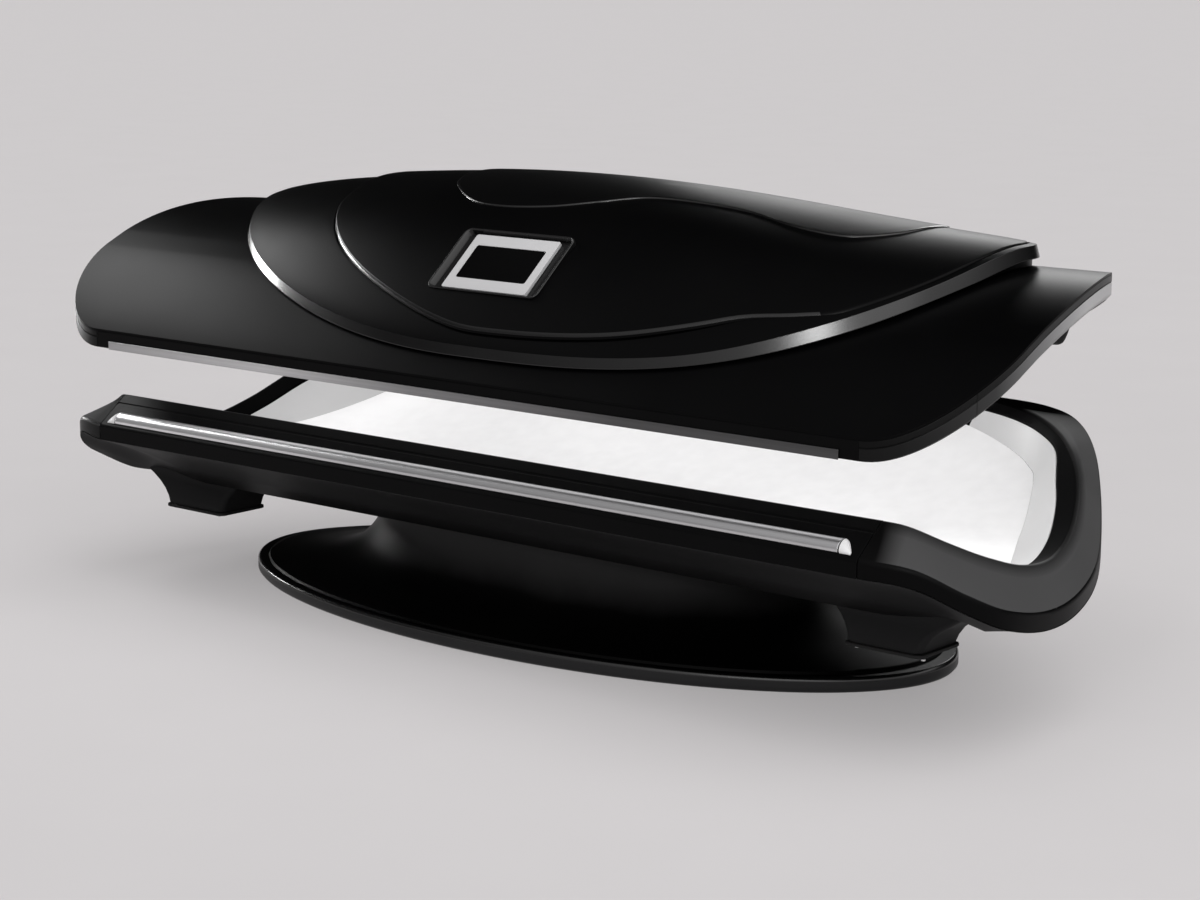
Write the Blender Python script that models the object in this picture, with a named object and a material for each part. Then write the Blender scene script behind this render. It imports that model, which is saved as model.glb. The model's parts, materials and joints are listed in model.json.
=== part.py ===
"""Lay-down light therapy bed: curved bench on an elliptical pedestal with a hinged canopy."""
import math

import bmesh
import bpy
from mathutils import Matrix, Vector

# Plan shared by the bench and the canopy
HALF_LENGTH = 1.150
FRONT_Y = -0.515
CORNER_R = 0.193
BACK_Y = 0.478
BACK_FLAT = 0.460
SWEEP_Y = -0.276
CORNER_STEPS = 6
SWEEP_STEPS = 16
FRONT_HALF = HALF_LENGTH - CORNER_R

# Fits between neighbouring pieces
GAP = 0.0003
SEAM = 0.0004
CURVE_GAP = 0.0008

# Bench trough
SEAT_LOW_Y = -0.130
SEAT_LOW_Z = 0.272
SEAT_FRONT_R = 0.424
SEAT_BACK_R = 0.877
ACRYLIC_T = 0.004
TRAY_INSET = 0.060
TRAY_DROP = 0.030
TRAY_T = 0.002

# Bench rails and end rims
RAIL_EDGE_Z = 0.352
RAIL_TOP_Z = 0.4075
RAIL_TOP_Y = -0.442
RAIL_SEAT_Y = -0.420
RAIL_SEAT_Z = 0.385
REAR_EDGE_Z = 0.448
REAR_TOP_Z = 0.458
REAR_TOP_Y = 0.424
REAR_SEAT_Y = 0.390
REAR_SEAT_Z = 0.445
RIM_SKIRT = 0.034
RIM_ROUND = 0.003
RIM_BASE_T = 0.012
WALL_BLEND = 0.130
FILLER_T = 0.003
FILLER_W = 0.022
FILLER_SKIP = 3

# Guide points of the right end, from the front rail round to the rear rail
OUTER_EDGE = (
    (FRONT_HALF, FRONT_Y, RAIL_EDGE_Z),
    (HALF_LENGTH - 0.097, -0.489, 0.343),
    (HALF_LENGTH - 0.035, -0.432, 0.302),
    (HALF_LENGTH - 0.003, -0.355, 0.266),
    (HALF_LENGTH, -0.235, 0.243),
    (HALF_LENGTH - 0.018, -0.105, 0.245),
    (HALF_LENGTH - 0.065, 0.040, 0.268),
    (HALF_LENGTH - 0.120, 0.145, 0.332),
    (HALF_LENGTH - 0.185, 0.235, 0.415),
    (HALF_LENGTH - 0.270, 0.320, 0.455),
    (HALF_LENGTH - 0.380, 0.398, 0.462),
    (HALF_LENGTH - 0.530, 0.457, 0.456),
    (BACK_FLAT, BACK_Y, REAR_EDGE_Z),
)
INNER_EDGE = (
    (FRONT_HALF, RAIL_TOP_Y, RAIL_TOP_Z),
    (HALF_LENGTH - 0.160, -0.410, 0.396),
    (HALF_LENGTH - 0.120, -0.350, 0.364),
    (HALF_LENGTH - 0.088, -0.275, 0.331),
    (HALF_LENGTH - 0.072, -0.190, 0.306),
    (HALF_LENGTH - 0.072, -0.100, 0.304),
    (HALF_LENGTH - 0.092, -0.005, 0.336),
    (HALF_LENGTH - 0.138, 0.092, 0.392),
    (HALF_LENGTH - 0.204, 0.172, 0.430),
    (HALF_LENGTH - 0.292, 0.254, 0.452),
    (HALF_LENGTH - 0.405, 0.334, 0.462),
    (HALF_LENGTH - 0.545, 0.396, 0.463),
    (BACK_FLAT, REAR_TOP_Y, REAR_TOP_Z),
)
RIM_WALL_IN = 0.045
RIM_WALL_DROP = 0.020
END_STEPS = 30

# Bench hull
HULL_BOTTOM_Z = 0.205
HULL_T = 0.005
HULL_FLAT_X = 0.900
HULL_FLAT_Y = 0.600
HULL_KNEE = 0.075
HULL_KNEE_MIN = 0.002
FRAME_TUBE = 0.022
FRAME_H = 0.0370
FRAME_Y = -0.120
FRAME_HALF_Y = 0.130
FRAME_END_IN = 0.172
SUPPLY = (0.220, 0.090, 0.040)
SUPPLY_X = 0.420
SUPPLY_Y = 0.125
GLAND_X = 0.300
GLAND_Y = 0.240
GLAND_R = 0.016
GLAND_H = 0.026

# Trim strip along the bench front
TRIM_END_IN = 0.042
TRIM_H = 0.030
TRIM_BULGE = 0.010
TRIM_UP = 0.004
TRIM_LIFT = 0.0004
CAP_R = 0.011
CAP_H = 0.006
CAP_OFF = 0.003

# Pedestal
BASE_A = 0.865
BASE_B = 0.418
BASE_X = -0.085
BASE_Y = 0.014
BASE_H = 0.030
BASE_ROUND = 0.008
SKIRT_T = 0.005
COLUMN_X = 0.200
COLUMN_W = 0.110
PLATE_T = 0.008

# Stub feet below the bench ends
FOOT_END_IN = 0.260
FOOT_Y = -0.261
SOLE_HALF_X = 0.080
SOLE_HALF_Y = 0.065
SOLE_Z = 0.143
SOLE_T = 0.006
SOLE_RIM = 0.006
FOOT_TOP_HALF_X = 0.110
FOOT_TOP_HALF_Y = 0.058
FOOT_TOP_DY = 0.020
FOOT_ROUND = 0.014
SCREW_R = 0.004
SCREW_H = 0.003
SCREW_IN = 0.012

# Canopy shell
CANOPY_R = 0.700
CANOPY_FRONT_Z = 0.5514
CANOPY_CZ = CANOPY_FRONT_Z - math.sqrt(CANOPY_R ** 2 - FRONT_Y ** 2)
SKIN_T = 0.004
BAND_FOOT = 0.048
BAND_FLANGE_DROP = 0.062
LIP_IN = 0.075
BAND_PROFILE = (
    (0.0, SKIN_T + CURVE_GAP), (0.0, BAND_FOOT - 0.010), (0.008, BAND_FOOT), (0.045, BAND_FLANGE_DROP),
    (LIP_IN, BAND_FLANGE_DROP), (LIP_IN, BAND_FLANGE_DROP - 0.006), (0.022, BAND_FOOT - 0.002),
    (0.022, SKIN_T + CURVE_GAP),
)
CORNER_END = 4
END_SEAM = 0.012
DIFFUSER_DROP = 0.0504
DIFFUSER_IN = 0.052
CANOPY_TRAY_DROP = 0.030
RIB_X = 0.600
RIB_T = 0.020
RIB_FRONT = -0.430
RIB_BACK = 0.330
BUMPER_IN = 0.056
BUMPER_Y = 0.280
BUMPER_R = 0.026
BUMPER_H = 0.040
CANOPY_TRIM_END_IN = 0.039
CANOPY_TRIM_H = 0.017
CANOPY_TRIM_LOW = 0.008
CANOPY_TRIM_OUT = 0.0025
BOARD_T = 0.0016
BOARD_IN = 0.020

# Cowl on top of the canopy
COWL_X = 0.040
COWL_LEFT = 0.925
COWL_RIGHT = 0.918
COWL_FRONT = 0.485
COWL_BACK = 0.400
COWL_LEFT_N = 2.2
COWL_RIGHT_N = 2.9
COWL_LIP = 0.020
COWL_CROWN = 0.0762
COWL_LEAN = -0.302
COWL_SAG = -0.348
COWL_POWER = 0.65
COWL_T = 0.004
COWL_STEP = 0.009
REBATE = 0.050
LIP_INNER = 0.985
SPOKES = 60
STEP_LINE = (
    (-180.0, 0.660), (-155.0, 0.692), (-140.0, 0.761), (-126.0, 0.823), (-108.0, 0.896),
    (-92.0, 0.958), (-84.0, 0.962), (-70.0, 0.950), (-57.0, 0.925), (-51.0, 0.920),
    (-45.0, 0.948), (-40.0, 0.972), (0.0, 0.972),
)
PANEL_LINE = (
    (-0.332, 0.000), (-0.318, -0.076), (-0.282, -0.140), (-0.185, -0.206), (-0.090, -0.223),
    (0.025, -0.208), (0.117, -0.170), (0.201, -0.125), (0.311, -0.112), (0.429, -0.115),
    (0.564, -0.144), (0.669, -0.139), (0.735, -0.080), (0.750, 0.000),
)
PANEL_STEPS = 30
PANEL_RAISE = 0.003
PANEL_GAP = 0.0005
PANEL_MID = 0.160

# Screen in the cowl front
SCREEN_X = 0.036
SCREEN_W = 0.276
SCREEN_L = 0.156
SCREEN_Y = -0.361
SCREEN_UP = 0.009
SCREEN_TILT = 40.7
RECESS = 0.010
RECESS_T = 0.004
RECESS_WALL = 0.006
RECESS_UP = 0.001
BEZEL_W = 0.210
BEZEL_L = 0.136
BEZEL_T = 0.007
BEZEL_OFF = -0.002
GLASS_W = 0.174
GLASS_L = 0.083
GLASS_T = 0.004

# Hinges behind the rails
HINGE_X = 0.360
KNUCKLE_R = 0.013
HINGE_Y = GAP + CANOPY_TRIM_OUT - FRONT_Y - KNUCKLE_R
HINGE_DROP = 0.0937
PIN_R = 0.006
KNUCKLE_W = 0.055
PIN_CLEAR = 0.0005
LEAF_T = 0.006
LEAF_H = 0.026

# Fans under the cowl
FAN_X = 0.300
FAN_W = 0.120
FAN_H = 0.036
FAN_BORE = 0.055
FAN_TIP = 0.0525
HUB_R = 0.020
SHAFT_R = 0.004
BLADES = 7


def clear_scene():
    for obj in list(bpy.data.objects):
        bpy.data.objects.remove(obj, do_unlink=True)


def material(name, rgb, rough, metal=0.0):
    mat = bpy.data.materials.new(name)
    mat.use_nodes = True
    shader = mat.node_tree.nodes["Principled BSDF"]
    shader.inputs["Base Color"].default_value = (*rgb, 1.0)
    shader.inputs["Roughness"].default_value = rough
    shader.inputs["Metallic"].default_value = metal
    mat.diffuse_color = (*rgb, 1.0)
    return mat


def solid(name, verts, faces, mat, origin=(0.0, 0.0, 0.0)):
    mesh = bpy.data.meshes.new(name)
    base = Vector(origin)
    mesh.from_pydata([Vector(v) - base for v in verts], [], faces)
    bm = bmesh.new()
    bm.from_mesh(mesh)
    bmesh.ops.remove_doubles(bm, verts=bm.verts, dist=1e-6)
    bmesh.ops.recalc_face_normals(bm, faces=bm.faces)
    bm.to_mesh(mesh)
    bm.free()
    mesh.materials.append(mat)
    obj = bpy.data.objects.new(name, mesh)
    obj.location = base
    bpy.context.collection.objects.link(obj)
    return obj


def mirrored(points):
    return [(-p[0], p[1], p[2]) for p in points]


def through(points, steps):
    """Even samples on a smooth curve through a few guide points."""
    pts = [Vector(p) for p in points]
    spans = len(pts) - 1
    out = []
    for k in range(steps + 1):
        u = min(k / steps * spans, spans - 1e-9)
        i = int(u)
        t = u - i
        a = pts[max(i - 1, 0)]
        b = pts[i]
        c = pts[i + 1]
        d = pts[min(i + 2, spans)]
        tangent_b = (c - a) * 0.5
        tangent_c = (d - b) * 0.5
        t2 = t * t
        t3 = t2 * t
        out.append(b * (2 * t3 - 3 * t2 + 1) + tangent_b * (t3 - 2 * t2 + t)
                   + c * (3 * t2 - 2 * t3) + tangent_c * (t3 - t2))
    return out


def lookup(table, x):
    """Smooth value from a short table of (position, value) pairs."""
    last = len(table) - 1
    x = max(table[0][0], min(x, table[last][0]))
    i = 0
    while i < last - 1 and x > table[i + 1][0]:
        i += 1
    slopes = []
    for k in (i, i + 1):
        before = table[max(k - 1, 0)]
        after = table[min(k + 1, last)]
        slopes.append((after[1] - before[1]) / (after[0] - before[0]))
    span = table[i + 1][0] - table[i][0]
    t = (x - table[i][0]) / span
    rise = table[i + 1][1] - table[i][1]
    bend = t * (1 - t) * (span * (slopes[0] * (1 - t) - slopes[1] * t) + rise * (2 * t - 1))
    return table[i][1] + rise * t + bend


def plan(inset=0.0):
    """Right half of the plan from the front straight to the back straight."""
    pts = []
    for k in range(CORNER_STEPS + 1):
        ang = math.radians(-90 + 90 * k / CORNER_STEPS)
        r = CORNER_R - inset
        pts.append((FRONT_HALF + r * math.cos(ang), FRONT_Y + CORNER_R + r * math.sin(ang)))
    a = HALF_LENGTH - BACK_FLAT
    b = BACK_Y - SWEEP_Y
    for k in range(SWEEP_STEPS + 1):
        ang = math.radians(90 * k / SWEEP_STEPS)
        nx = math.cos(ang) / a
        ny = math.sin(ang) / b
        n = math.hypot(nx, ny)
        x = BACK_FLAT + a * math.cos(ang) - inset * nx / n
        y = SWEEP_Y + b * math.sin(ang) - inset * ny / n
        pts.append((x, y))
    return pts


def plan_x(inset, y):
    """Half width of the swept end of the plan at one y."""
    pts = plan(inset)[CORNER_STEPS + 1:]
    for a, b in zip(pts, pts[1:]):
        if a[1] <= y <= b[1]:
            return a[0] + (b[0] - a[0]) * (y - a[1]) / (b[1] - a[1])
    return pts[-1][0]


def chain(name, sections, mat, closed=False):
    """Solid swept through matching closed sections."""
    m = len(sections[0])
    verts = [p for sec in sections for p in sec]
    faces = []
    count = len(sections)
    last = count if closed else count - 1
    for i in range(last):
        j = (i + 1) % count
        for k in range(m):
            n = (k + 1) % m
            faces.append((i * m + k, i * m + n, j * m + n, j * m + k))
    if not closed:
        faces.append(tuple(range(m)))
        faces.append(tuple((count - 1) * m + k for k in range(m)))
    return solid(name, verts, faces, mat)


def sheet(name, rows, thick, mat):
    """Sheet ruled along the length; a row is (half length, y, top z)."""
    verts = []
    for half, y, z in rows:
        verts += [(-half, y, z), (half, y, z), (half, y, z - thick), (-half, y, z - thick)]
    faces = []
    for i in range(len(rows) - 1):
        a = 4 * i
        b = a + 4
        for k in range(4):
            n = (k + 1) % 4
            faces.append((a + k, a + n, b + n, b + k))
    faces.append((0, 1, 2, 3))
    e = 4 * (len(rows) - 1)
    faces.append((e, e + 1, e + 2, e + 3))
    return solid(name, verts, faces, mat)


def block(name, size, centre, mat, tilt=0.0):
    """Box given by full sizes, tilted about the length axis."""
    rot = Matrix.Rotation(math.radians(tilt), 3, "X")
    verts, faces = box_data(size)
    verts = [rot @ Vector(v) + Vector(centre) for v in verts]
    return solid(name, verts, faces, mat)


def box_data(size):
    hx, hy, hz = (s / 2 for s in size)
    verts = [(sx * hx, sy * hy, sz * hz) for sz in (-1, 1) for sy in (-1, 1) for sx in (-1, 1)]
    faces = [(0, 1, 3, 2), (4, 5, 7, 6), (0, 1, 5, 4), (2, 3, 7, 6), (0, 2, 6, 4), (1, 3, 7, 5)]
    return verts, faces


def prism_data(outline, x0, x1):
    """Outline in (y, z) pulled along the length."""
    n = len(outline)
    verts = [(x0, y, z) for y, z in outline] + [(x1, y, z) for y, z in outline]
    faces = [tuple(range(n)), tuple(range(n, 2 * n))]
    faces += [(k, (k + 1) % n, n + (k + 1) % n, n + k) for k in range(n)]
    return verts, faces


def turned_data(profile, centre, axis="Z", sides=16):
    """Solid of revolution from (radius, height) pairs that start and end on the axis."""
    verts = []
    faces = []
    rings = []
    for r, h in profile:
        if r < 1e-9:
            rings.append([len(verts)])
            verts.append((0.0, 0.0, h))
            continue
        ring = []
        for k in range(sides):
            ang = 2 * math.pi * k / sides
            ring.append(len(verts))
            verts.append((r * math.cos(ang), r * math.sin(ang), h))
        rings.append(ring)
    for lo, hi in zip(rings, rings[1:]):
        for k in range(sides):
            n = (k + 1) % sides
            quad = [lo[k % len(lo)], lo[n % len(lo)], hi[n % len(hi)], hi[k % len(hi)]]
            faces.append(tuple(dict.fromkeys(quad)))
    if axis == "X":
        verts = [(h, x, y) for x, y, h in verts]
    elif axis == "Y":
        verts = [(x, h, y) for x, y, h in verts]
    verts = [Vector(v) + Vector(centre) for v in verts]
    return verts, faces


def cylinder_data(radius, length, centre, axis="Z", sides=16):
    h = length / 2
    return turned_data(((0, -h), (radius, -h), (radius, h), (0, h)), centre, axis, sides)


def cut(target, cutter):
    cutter.hide_render = True
    cutter.display_type = "WIRE"
    mod = target.modifiers.new("cut_" + cutter.name, "BOOLEAN")
    mod.operation = "DIFFERENCE"
    mod.solver = "EXACT"
    mod.object = cutter


# Surfaces given by a height
def seat_z(y):
    r = SEAT_FRONT_R if y < SEAT_LOW_Y else SEAT_BACK_R
    return SEAT_LOW_Z + (y - SEAT_LOW_Y) ** 2 / (2 * r)


def skin_z(y):
    return CANOPY_CZ + math.sqrt(CANOPY_R ** 2 - y * y)


def cowl_side(dx):
    """Half length and roundness of the cowl's outline on the left or on the right."""
    if dx < 0:
        return COWL_LEFT, COWL_LEFT_N
    return COWL_RIGHT, COWL_RIGHT_N


def cowl_point(rho, ang):
    c = math.cos(ang)
    s = math.sin(ang)
    half, power = cowl_side(c)
    n = (abs(c) ** power + abs(s) ** power) ** (1 / power)
    depth = COWL_FRONT if s < 0 else COWL_BACK
    return COWL_X + half * rho * c / n, depth * rho * s / n


def cowl_z(x, y):
    depth = COWL_FRONT if y < 0 else COWL_BACK
    half, power = cowl_side(x - COWL_X)
    u = (x - COWL_X) / half
    rho = min((abs(u) ** power + abs(y / depth) ** power) ** (1 / power), 1.0)
    crown = COWL_CROWN * (1 + COWL_LEAN * u + COWL_SAG * u * u)
    return skin_z(y) + COWL_LIP + crown * (1 - rho * rho) ** COWL_POWER


def step_rho(ang):
    deg = -abs(math.degrees(math.atan2(math.sin(ang), math.cos(ang))))
    return lookup(STEP_LINE, deg)


# Pedestal
def oval(a, b, z, sides=56):
    out = []
    for k in range(sides):
        ang = 2 * math.pi * k / sides
        out.append((BASE_X + a * math.cos(ang), BASE_Y + b * math.sin(ang), z))
    return out


def floor_plate(mat):
    r = BASE_ROUND
    prof = ((-0.012, 0.0), (0.0, 0.004), (0.0, BASE_H - r), (-0.3 * r, BASE_H - 0.3 * r),
            (-r, BASE_H), (-0.060, BASE_H))
    rings = [oval(BASE_A + d, BASE_B + d, z) for d, z in prof]
    n = len(rings[0])
    verts = [p for ring in rings for p in ring]
    faces = [tuple(range(n)), tuple(range((len(rings) - 1) * n, len(rings) * n))]
    for i in range(len(rings) - 1):
        for k in range(n):
            m = (k + 1) % n
            faces.append((i * n + k, i * n + m, (i + 1) * n + m, (i + 1) * n + k))
    return solid("pedestal_floor_plate", verts, faces, mat)


def skirt(mat):
    z0 = BASE_H + GAP
    z1 = HULL_BOTTOM_Z - GAP
    outer = ((0.965, z0), (0.960, z0 + 0.005), (0.860, z0 + 0.013), (0.760, z0 + 0.028),
             (0.680, z0 + 0.054), (0.625, z0 + 0.095), (0.600, z0 + 0.135), (0.595, z1))
    sections = []
    sides = 56
    for k in range(sides):
        ang = 2 * math.pi * k / sides
        c = math.cos(ang)
        s = math.sin(ang)
        sec = [(BASE_X + BASE_A * f * c, BASE_Y + BASE_B * f * s, z) for f, z in outer]
        inner = [(f - 0.022, z if z in (z0, z1) else z - SKIRT_T) for f, z in reversed(outer)]
        inner = [(f, max(z, z0)) for f, z in inner if z >= z0]
        sec += [(BASE_X + BASE_A * f * c, BASE_Y + BASE_B * f * s, z) for f, z in inner if f < 0.93]
        sections.append(sec)
    return chain("pedestal_skirt", sections, mat, closed=True)


def pedestal_frame(mat):
    low = BASE_H + GAP
    high = HULL_BOTTOM_Z - GAP
    half = COLUMN_W / 2
    out = []
    x_in = COLUMN_X - half
    x_out = COLUMN_X + half
    foot = x_out + 0.060
    profile = ((-foot, low), (foot, low), (foot, low + PLATE_T), (x_out, low + PLATE_T),
               (x_out, high - PLATE_T), (foot, high - PLATE_T), (foot, high), (-foot, high),
               (-foot, high - PLATE_T), (-x_out, high - PLATE_T), (-x_out, low + PLATE_T),
               (-foot, low + PLATE_T))
    for y in (BASE_Y - half, BASE_Y + half):
        out.append([(BASE_X + x, y, z) for x, z in profile])
    frame = chain("pedestal_frame", out, mat)
    cutter = block("frame_window", (2 * x_in, COLUMN_W * 2, high - low - 2 * PLATE_T),
                   (BASE_X, BASE_Y, (low + high) / 2), mat)
    cut(frame, cutter)
    return frame


# Bench
def rim_section(outer, inner):
    """Closed section from the outer edge over the flange and down the inner wall."""
    o = Vector(outer)
    i = Vector(inner)
    inward = Vector((i.x - o.x, i.y - o.y, 0.0)).normalized()
    wall = wall_point(i)
    skirt_top = o - Vector((0, 0, RIM_ROUND * 2))
    skirt_low = o - Vector((0, 0, RIM_SKIRT))
    near = o.lerp(i, 0.94)
    over = i.lerp(wall, 0.12) - Vector((0, 0, RIM_ROUND / 2))
    wall_low = wall - Vector((0, 0, RIM_BASE_T))
    return [skirt_low, skirt_top, o + inward * RIM_ROUND, near, over, wall, wall_low]


def wall_point(inner):
    """Foot of the rim's inner wall, moved toward the middle of the bench."""
    front = max(0.0, min(1.0, (inner.y - RAIL_TOP_Y) / WALL_BLEND))
    back = max(0.0, min(1.0, (REAR_TOP_Y - inner.y) / WALL_BLEND))
    move_x = RIM_WALL_IN * front * back
    move_y = (RAIL_SEAT_Y - RAIL_TOP_Y) * (1 - front) + (REAR_SEAT_Y - REAR_TOP_Y) * (1 - back)
    drop = (RAIL_TOP_Z - RAIL_SEAT_Z) * (1 - front) + RIM_WALL_DROP * front * back
    drop += (REAR_TOP_Z - REAR_SEAT_Z) * (1 - back)
    return Vector((inner.x - move_x, inner.y + move_y, inner.z - drop))


def end_curves():
    return through(OUTER_EDGE, END_STEPS), through(INNER_EDGE, END_STEPS)


def bench_rims(rail_mat, rim_mat):
    outer, inner = end_curves()
    sections = [rim_section(o, i) for o, i in zip(outer, inner)]
    chain("bench_end_rim_right", sections, rim_mat)
    chain("bench_end_rim_left", [mirrored(s) for s in sections], rim_mat)
    straight_rail("front_rail", sections[0], FRONT_HALF - SEAM, rail_mat)
    straight_rail("rear_rail", sections[-1], BACK_FLAT - SEAM, rail_mat)


def straight_rail(name, section, half, mat):
    ends = [[(x, p[1], p[2]) for p in section] for x in (-half, half)]
    chain(name, ends, mat)


def seat_rows(inset, drop):
    """Rows of the trough surface inside the rim walls."""
    feet = [wall_point(i) for i in through(INNER_EDGE, END_STEPS)]
    low = RAIL_SEAT_Y + inset - FILLER_W
    high = REAR_SEAT_Y - inset + FILLER_W
    rows = []
    for p in feet:
        if rows and not low < p.y < high:
            continue
        y = max(p.y, low)
        rows.append((p.x - inset, y, seat_z(y) - drop))
    return rows


def bench_sheets(acrylic_mat, tray_mat, board_mat):
    sheet("bench_acrylic", seat_rows(FILLER_W, 0.0), ACRYLIC_T, acrylic_mat)
    inset = FILLER_W + TRAY_INSET
    sheet("bench_light_tray", seat_rows(inset, TRAY_DROP), TRAY_T, tray_mat)
    rows = seat_rows(inset + BOARD_IN, TRAY_DROP - GAP - BOARD_T)
    sheet("bench_led_board", rows, BOARD_T, board_mat)


def end_filler(name, sign, mat):
    """White strip between the trough sheet and the foot of the rim wall."""
    feet = [wall_point(i) for i in through(INNER_EDGE, END_STEPS)]
    sections = []
    for p in feet[FILLER_SKIP:-FILLER_SKIP]:
        top = Vector((p.x - GAP, p.y, p.z - RIM_ROUND))
        low = Vector((p.x - FILLER_W + GAP, p.y, seat_z(p.y)))
        run = (low - top).normalized()
        side = Vector((-run.z, 0.0, run.x)) * FILLER_T
        top.x -= max(side.x, 0.0)
        low.x += max(-side.x, 0.0)
        sections.append([(sign * q.x, q.y, q.z) for q in (top, low, low + side, top + side)])
    chain(name, sections, mat)


def hull_rings():
    """Station points of the hull, rim edge to flat bottom, outside and inside."""
    outer, _ = end_curves()
    stations = []
    for o in outer:
        top = Vector((o.x, o.y, o.z - RIM_SKIRT - GAP))
        flat = Vector((HULL_FLAT_X * o.x, HULL_FLAT_Y * o.y, HULL_BOTTOM_Z))
        knee = top.lerp(flat, 0.5)
        knee.z = max(HULL_BOTTOM_Z + HULL_KNEE_MIN, o.z - HULL_KNEE)
        inward = Vector((flat.x - top.x, flat.y - top.y, 0.0)).normalized() * HULL_T
        lift = Vector((0, 0, HULL_T))
        stations.append([top, knee, flat, flat + inward + lift, knee + inward + lift, top + inward])
    return stations


def hull(mat):
    right = hull_rings()
    left = [mirrored(s) for s in reversed(right)]
    loop = right + left
    n = len(loop)
    m = len(loop[0])
    verts = [p for station in loop for p in station]
    faces = []
    for i in range(n):
        j = (i + 1) % n
        for k in range(m):
            if k == 2:
                continue
            q = (k + 1) % m
            faces.append((i * m + k, i * m + q, j * m + q, j * m + k))
    faces.append(tuple(i * m + 2 for i in range(n)))
    faces.append(tuple(i * m + 3 for i in range(n)))
    solid("bench_hull", verts, faces, mat)


def bench_inside(frame_mat, supply_mat):
    """Tube frame on the hull floor and the two power supplies beside it."""
    floor = HULL_BOTTOM_Z + HULL_T + GAP
    half = HALF_LENGTH - FRAME_END_IN
    sections = []
    for sx, sy in ((-1, -1), (1, -1), (1, 1), (-1, 1)):
        sec = []
        for d, z in ((0.0, 0.0), (FRAME_TUBE, 0.0), (FRAME_TUBE, FRAME_H), (0.0, FRAME_H)):
            sec.append((sx * (half - d), FRAME_Y + sy * (FRAME_HALF_Y - d), floor + z))
        sections.append(sec)
    chain("bench_frame", sections, frame_mat, closed=True)
    for side, sign in (("left", -1), ("right", 1)):
        centre = (sign * SUPPLY_X, SUPPLY_Y, floor + SUPPLY[2] / 2)
        block("power_supply_" + side, SUPPLY, centre, supply_mat)


def rail_face():
    """Foot, direction and outward normal of the sloping face of the front rail."""
    foot = Vector((0.0, FRONT_Y + RIM_ROUND, RAIL_EDGE_Z))
    along = Vector((0.0, RAIL_TOP_Y - foot.y, RAIL_TOP_Z - foot.z)).normalized()
    out = Vector((0.0, -along.z, along.y))
    return foot, along, out


def front_trim(strip_mat, cap_mat):
    foot, along, out = rail_face()
    half = FRONT_HALF - TRIM_END_IN
    outline = []
    for k in range(9):
        ang = math.pi * k / 8
        p = foot + along * (TRIM_UP + TRIM_H / 2 * (1 - math.cos(ang)))
        p += out * (TRIM_LIFT + TRIM_BULGE * math.sin(ang))
        outline.append((p.y, p.z))
    solid("front_trim_strip", *prism_data(outline, -half, half), strip_mat)
    for side, sign in (("left", -1), ("right", 1)):
        spin = Vector((0, 0, 1)).rotation_difference(out).to_matrix()
        centre = foot + along * (TRIM_UP + TRIM_H / 2) + out * TRIM_LIFT
        profile = ((0, 0), (CAP_R, 0), (CAP_R, CAP_H * 0.6), (CAP_R * 0.7, CAP_H), (0, CAP_H))
        verts, faces = turned_data(profile, (0, 0, 0))
        at = centre + Vector((sign * (half + CAP_R + CAP_OFF), 0, 0))
        solid("trim_cap_" + side, [spin @ v + at for v in verts], faces, cap_mat)


def feet(foot_mat, sole_mat, screw_mat):
    top_z = HULL_BOTTOM_Z - GAP
    low_z = SOLE_Z + SOLE_T + GAP
    foot_x = HALF_LENGTH - FOOT_END_IN
    for side, sign in (("left", -1), ("right", 1)):
        rings = []
        for half_x, half_y, z, dy in ((SOLE_HALF_X - SOLE_RIM, SOLE_HALF_Y - SOLE_RIM, low_z, 0.0),
                                      (SOLE_HALF_X + 0.004, SOLE_HALF_Y - 0.004, low_z + 0.030, 0.006),
                                      (FOOT_TOP_HALF_X, FOOT_TOP_HALF_Y, top_z, FOOT_TOP_DY)):
            rings.append(rounded(half_x, half_y, FOOT_ROUND, (sign * foot_x, FOOT_Y + dy, z)))
        stack("stub_foot_" + side, rings, foot_mat)
        rings = []
        for z in (SOLE_Z, SOLE_Z + SOLE_T):
            rings.append(rounded(SOLE_HALF_X, SOLE_HALF_Y, FOOT_ROUND, (sign * foot_x, FOOT_Y, z)))
        stack("foot_sole_" + side, rings, sole_mat)
        for end, sx in (("outer", sign), ("inner", -sign)):
            x = sign * foot_x + sx * (SOLE_HALF_X - SCREW_IN)
            y = FOOT_Y - SOLE_HALF_Y + SCREW_IN
            z = SOLE_Z - GAP - SCREW_H / 2
            verts, faces = cylinder_data(SCREW_R, SCREW_H, (x, y, z), sides=10)
            solid("sole_screw_" + side + "_" + end, verts, faces, screw_mat)


def rounded(half_x, half_y, r, centre, steps=3):
    """Rectangle with rounded corners as a ring of points."""
    out = []
    for cx, cy, start in ((1, 1, 0), (-1, 1, 90), (-1, -1, 180), (1, -1, 270)):
        for k in range(steps + 1):
            ang = math.radians(start + 90 * k / steps)
            x = cx * (half_x - r) + r * math.cos(ang)
            y = cy * (half_y - r) + r * math.sin(ang)
            out.append((centre[0] + x, centre[1] + y, centre[2]))
    return out


def stack(name, rings, mat):
    """Solid between flat rings that follow one another."""
    n = len(rings[0])
    verts = [p for ring in rings for p in ring]
    faces = [tuple(range(n)), tuple(range((len(rings) - 1) * n, len(rings) * n))]
    for i in range(len(rings) - 1):
        for k in range(n):
            m = (k + 1) % n
            faces.append((i * n + k, i * n + m, (i + 1) * n + m, (i + 1) * n + k))
    return solid(name, verts, faces, mat)


def mains_gland(mat):
    top = HULL_BOTTOM_Z - GAP
    profile = ((0, 0), (GLAND_R * 0.55, 0), (GLAND_R * 0.7, GLAND_H * 0.3), (GLAND_R, GLAND_H * 0.35),
               (GLAND_R, GLAND_H), (0, GLAND_H))
    verts, faces = turned_data(profile, (GLAND_X, GLAND_Y, top - GLAND_H))
    solid("mains_gland", verts, faces, mat)


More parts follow.
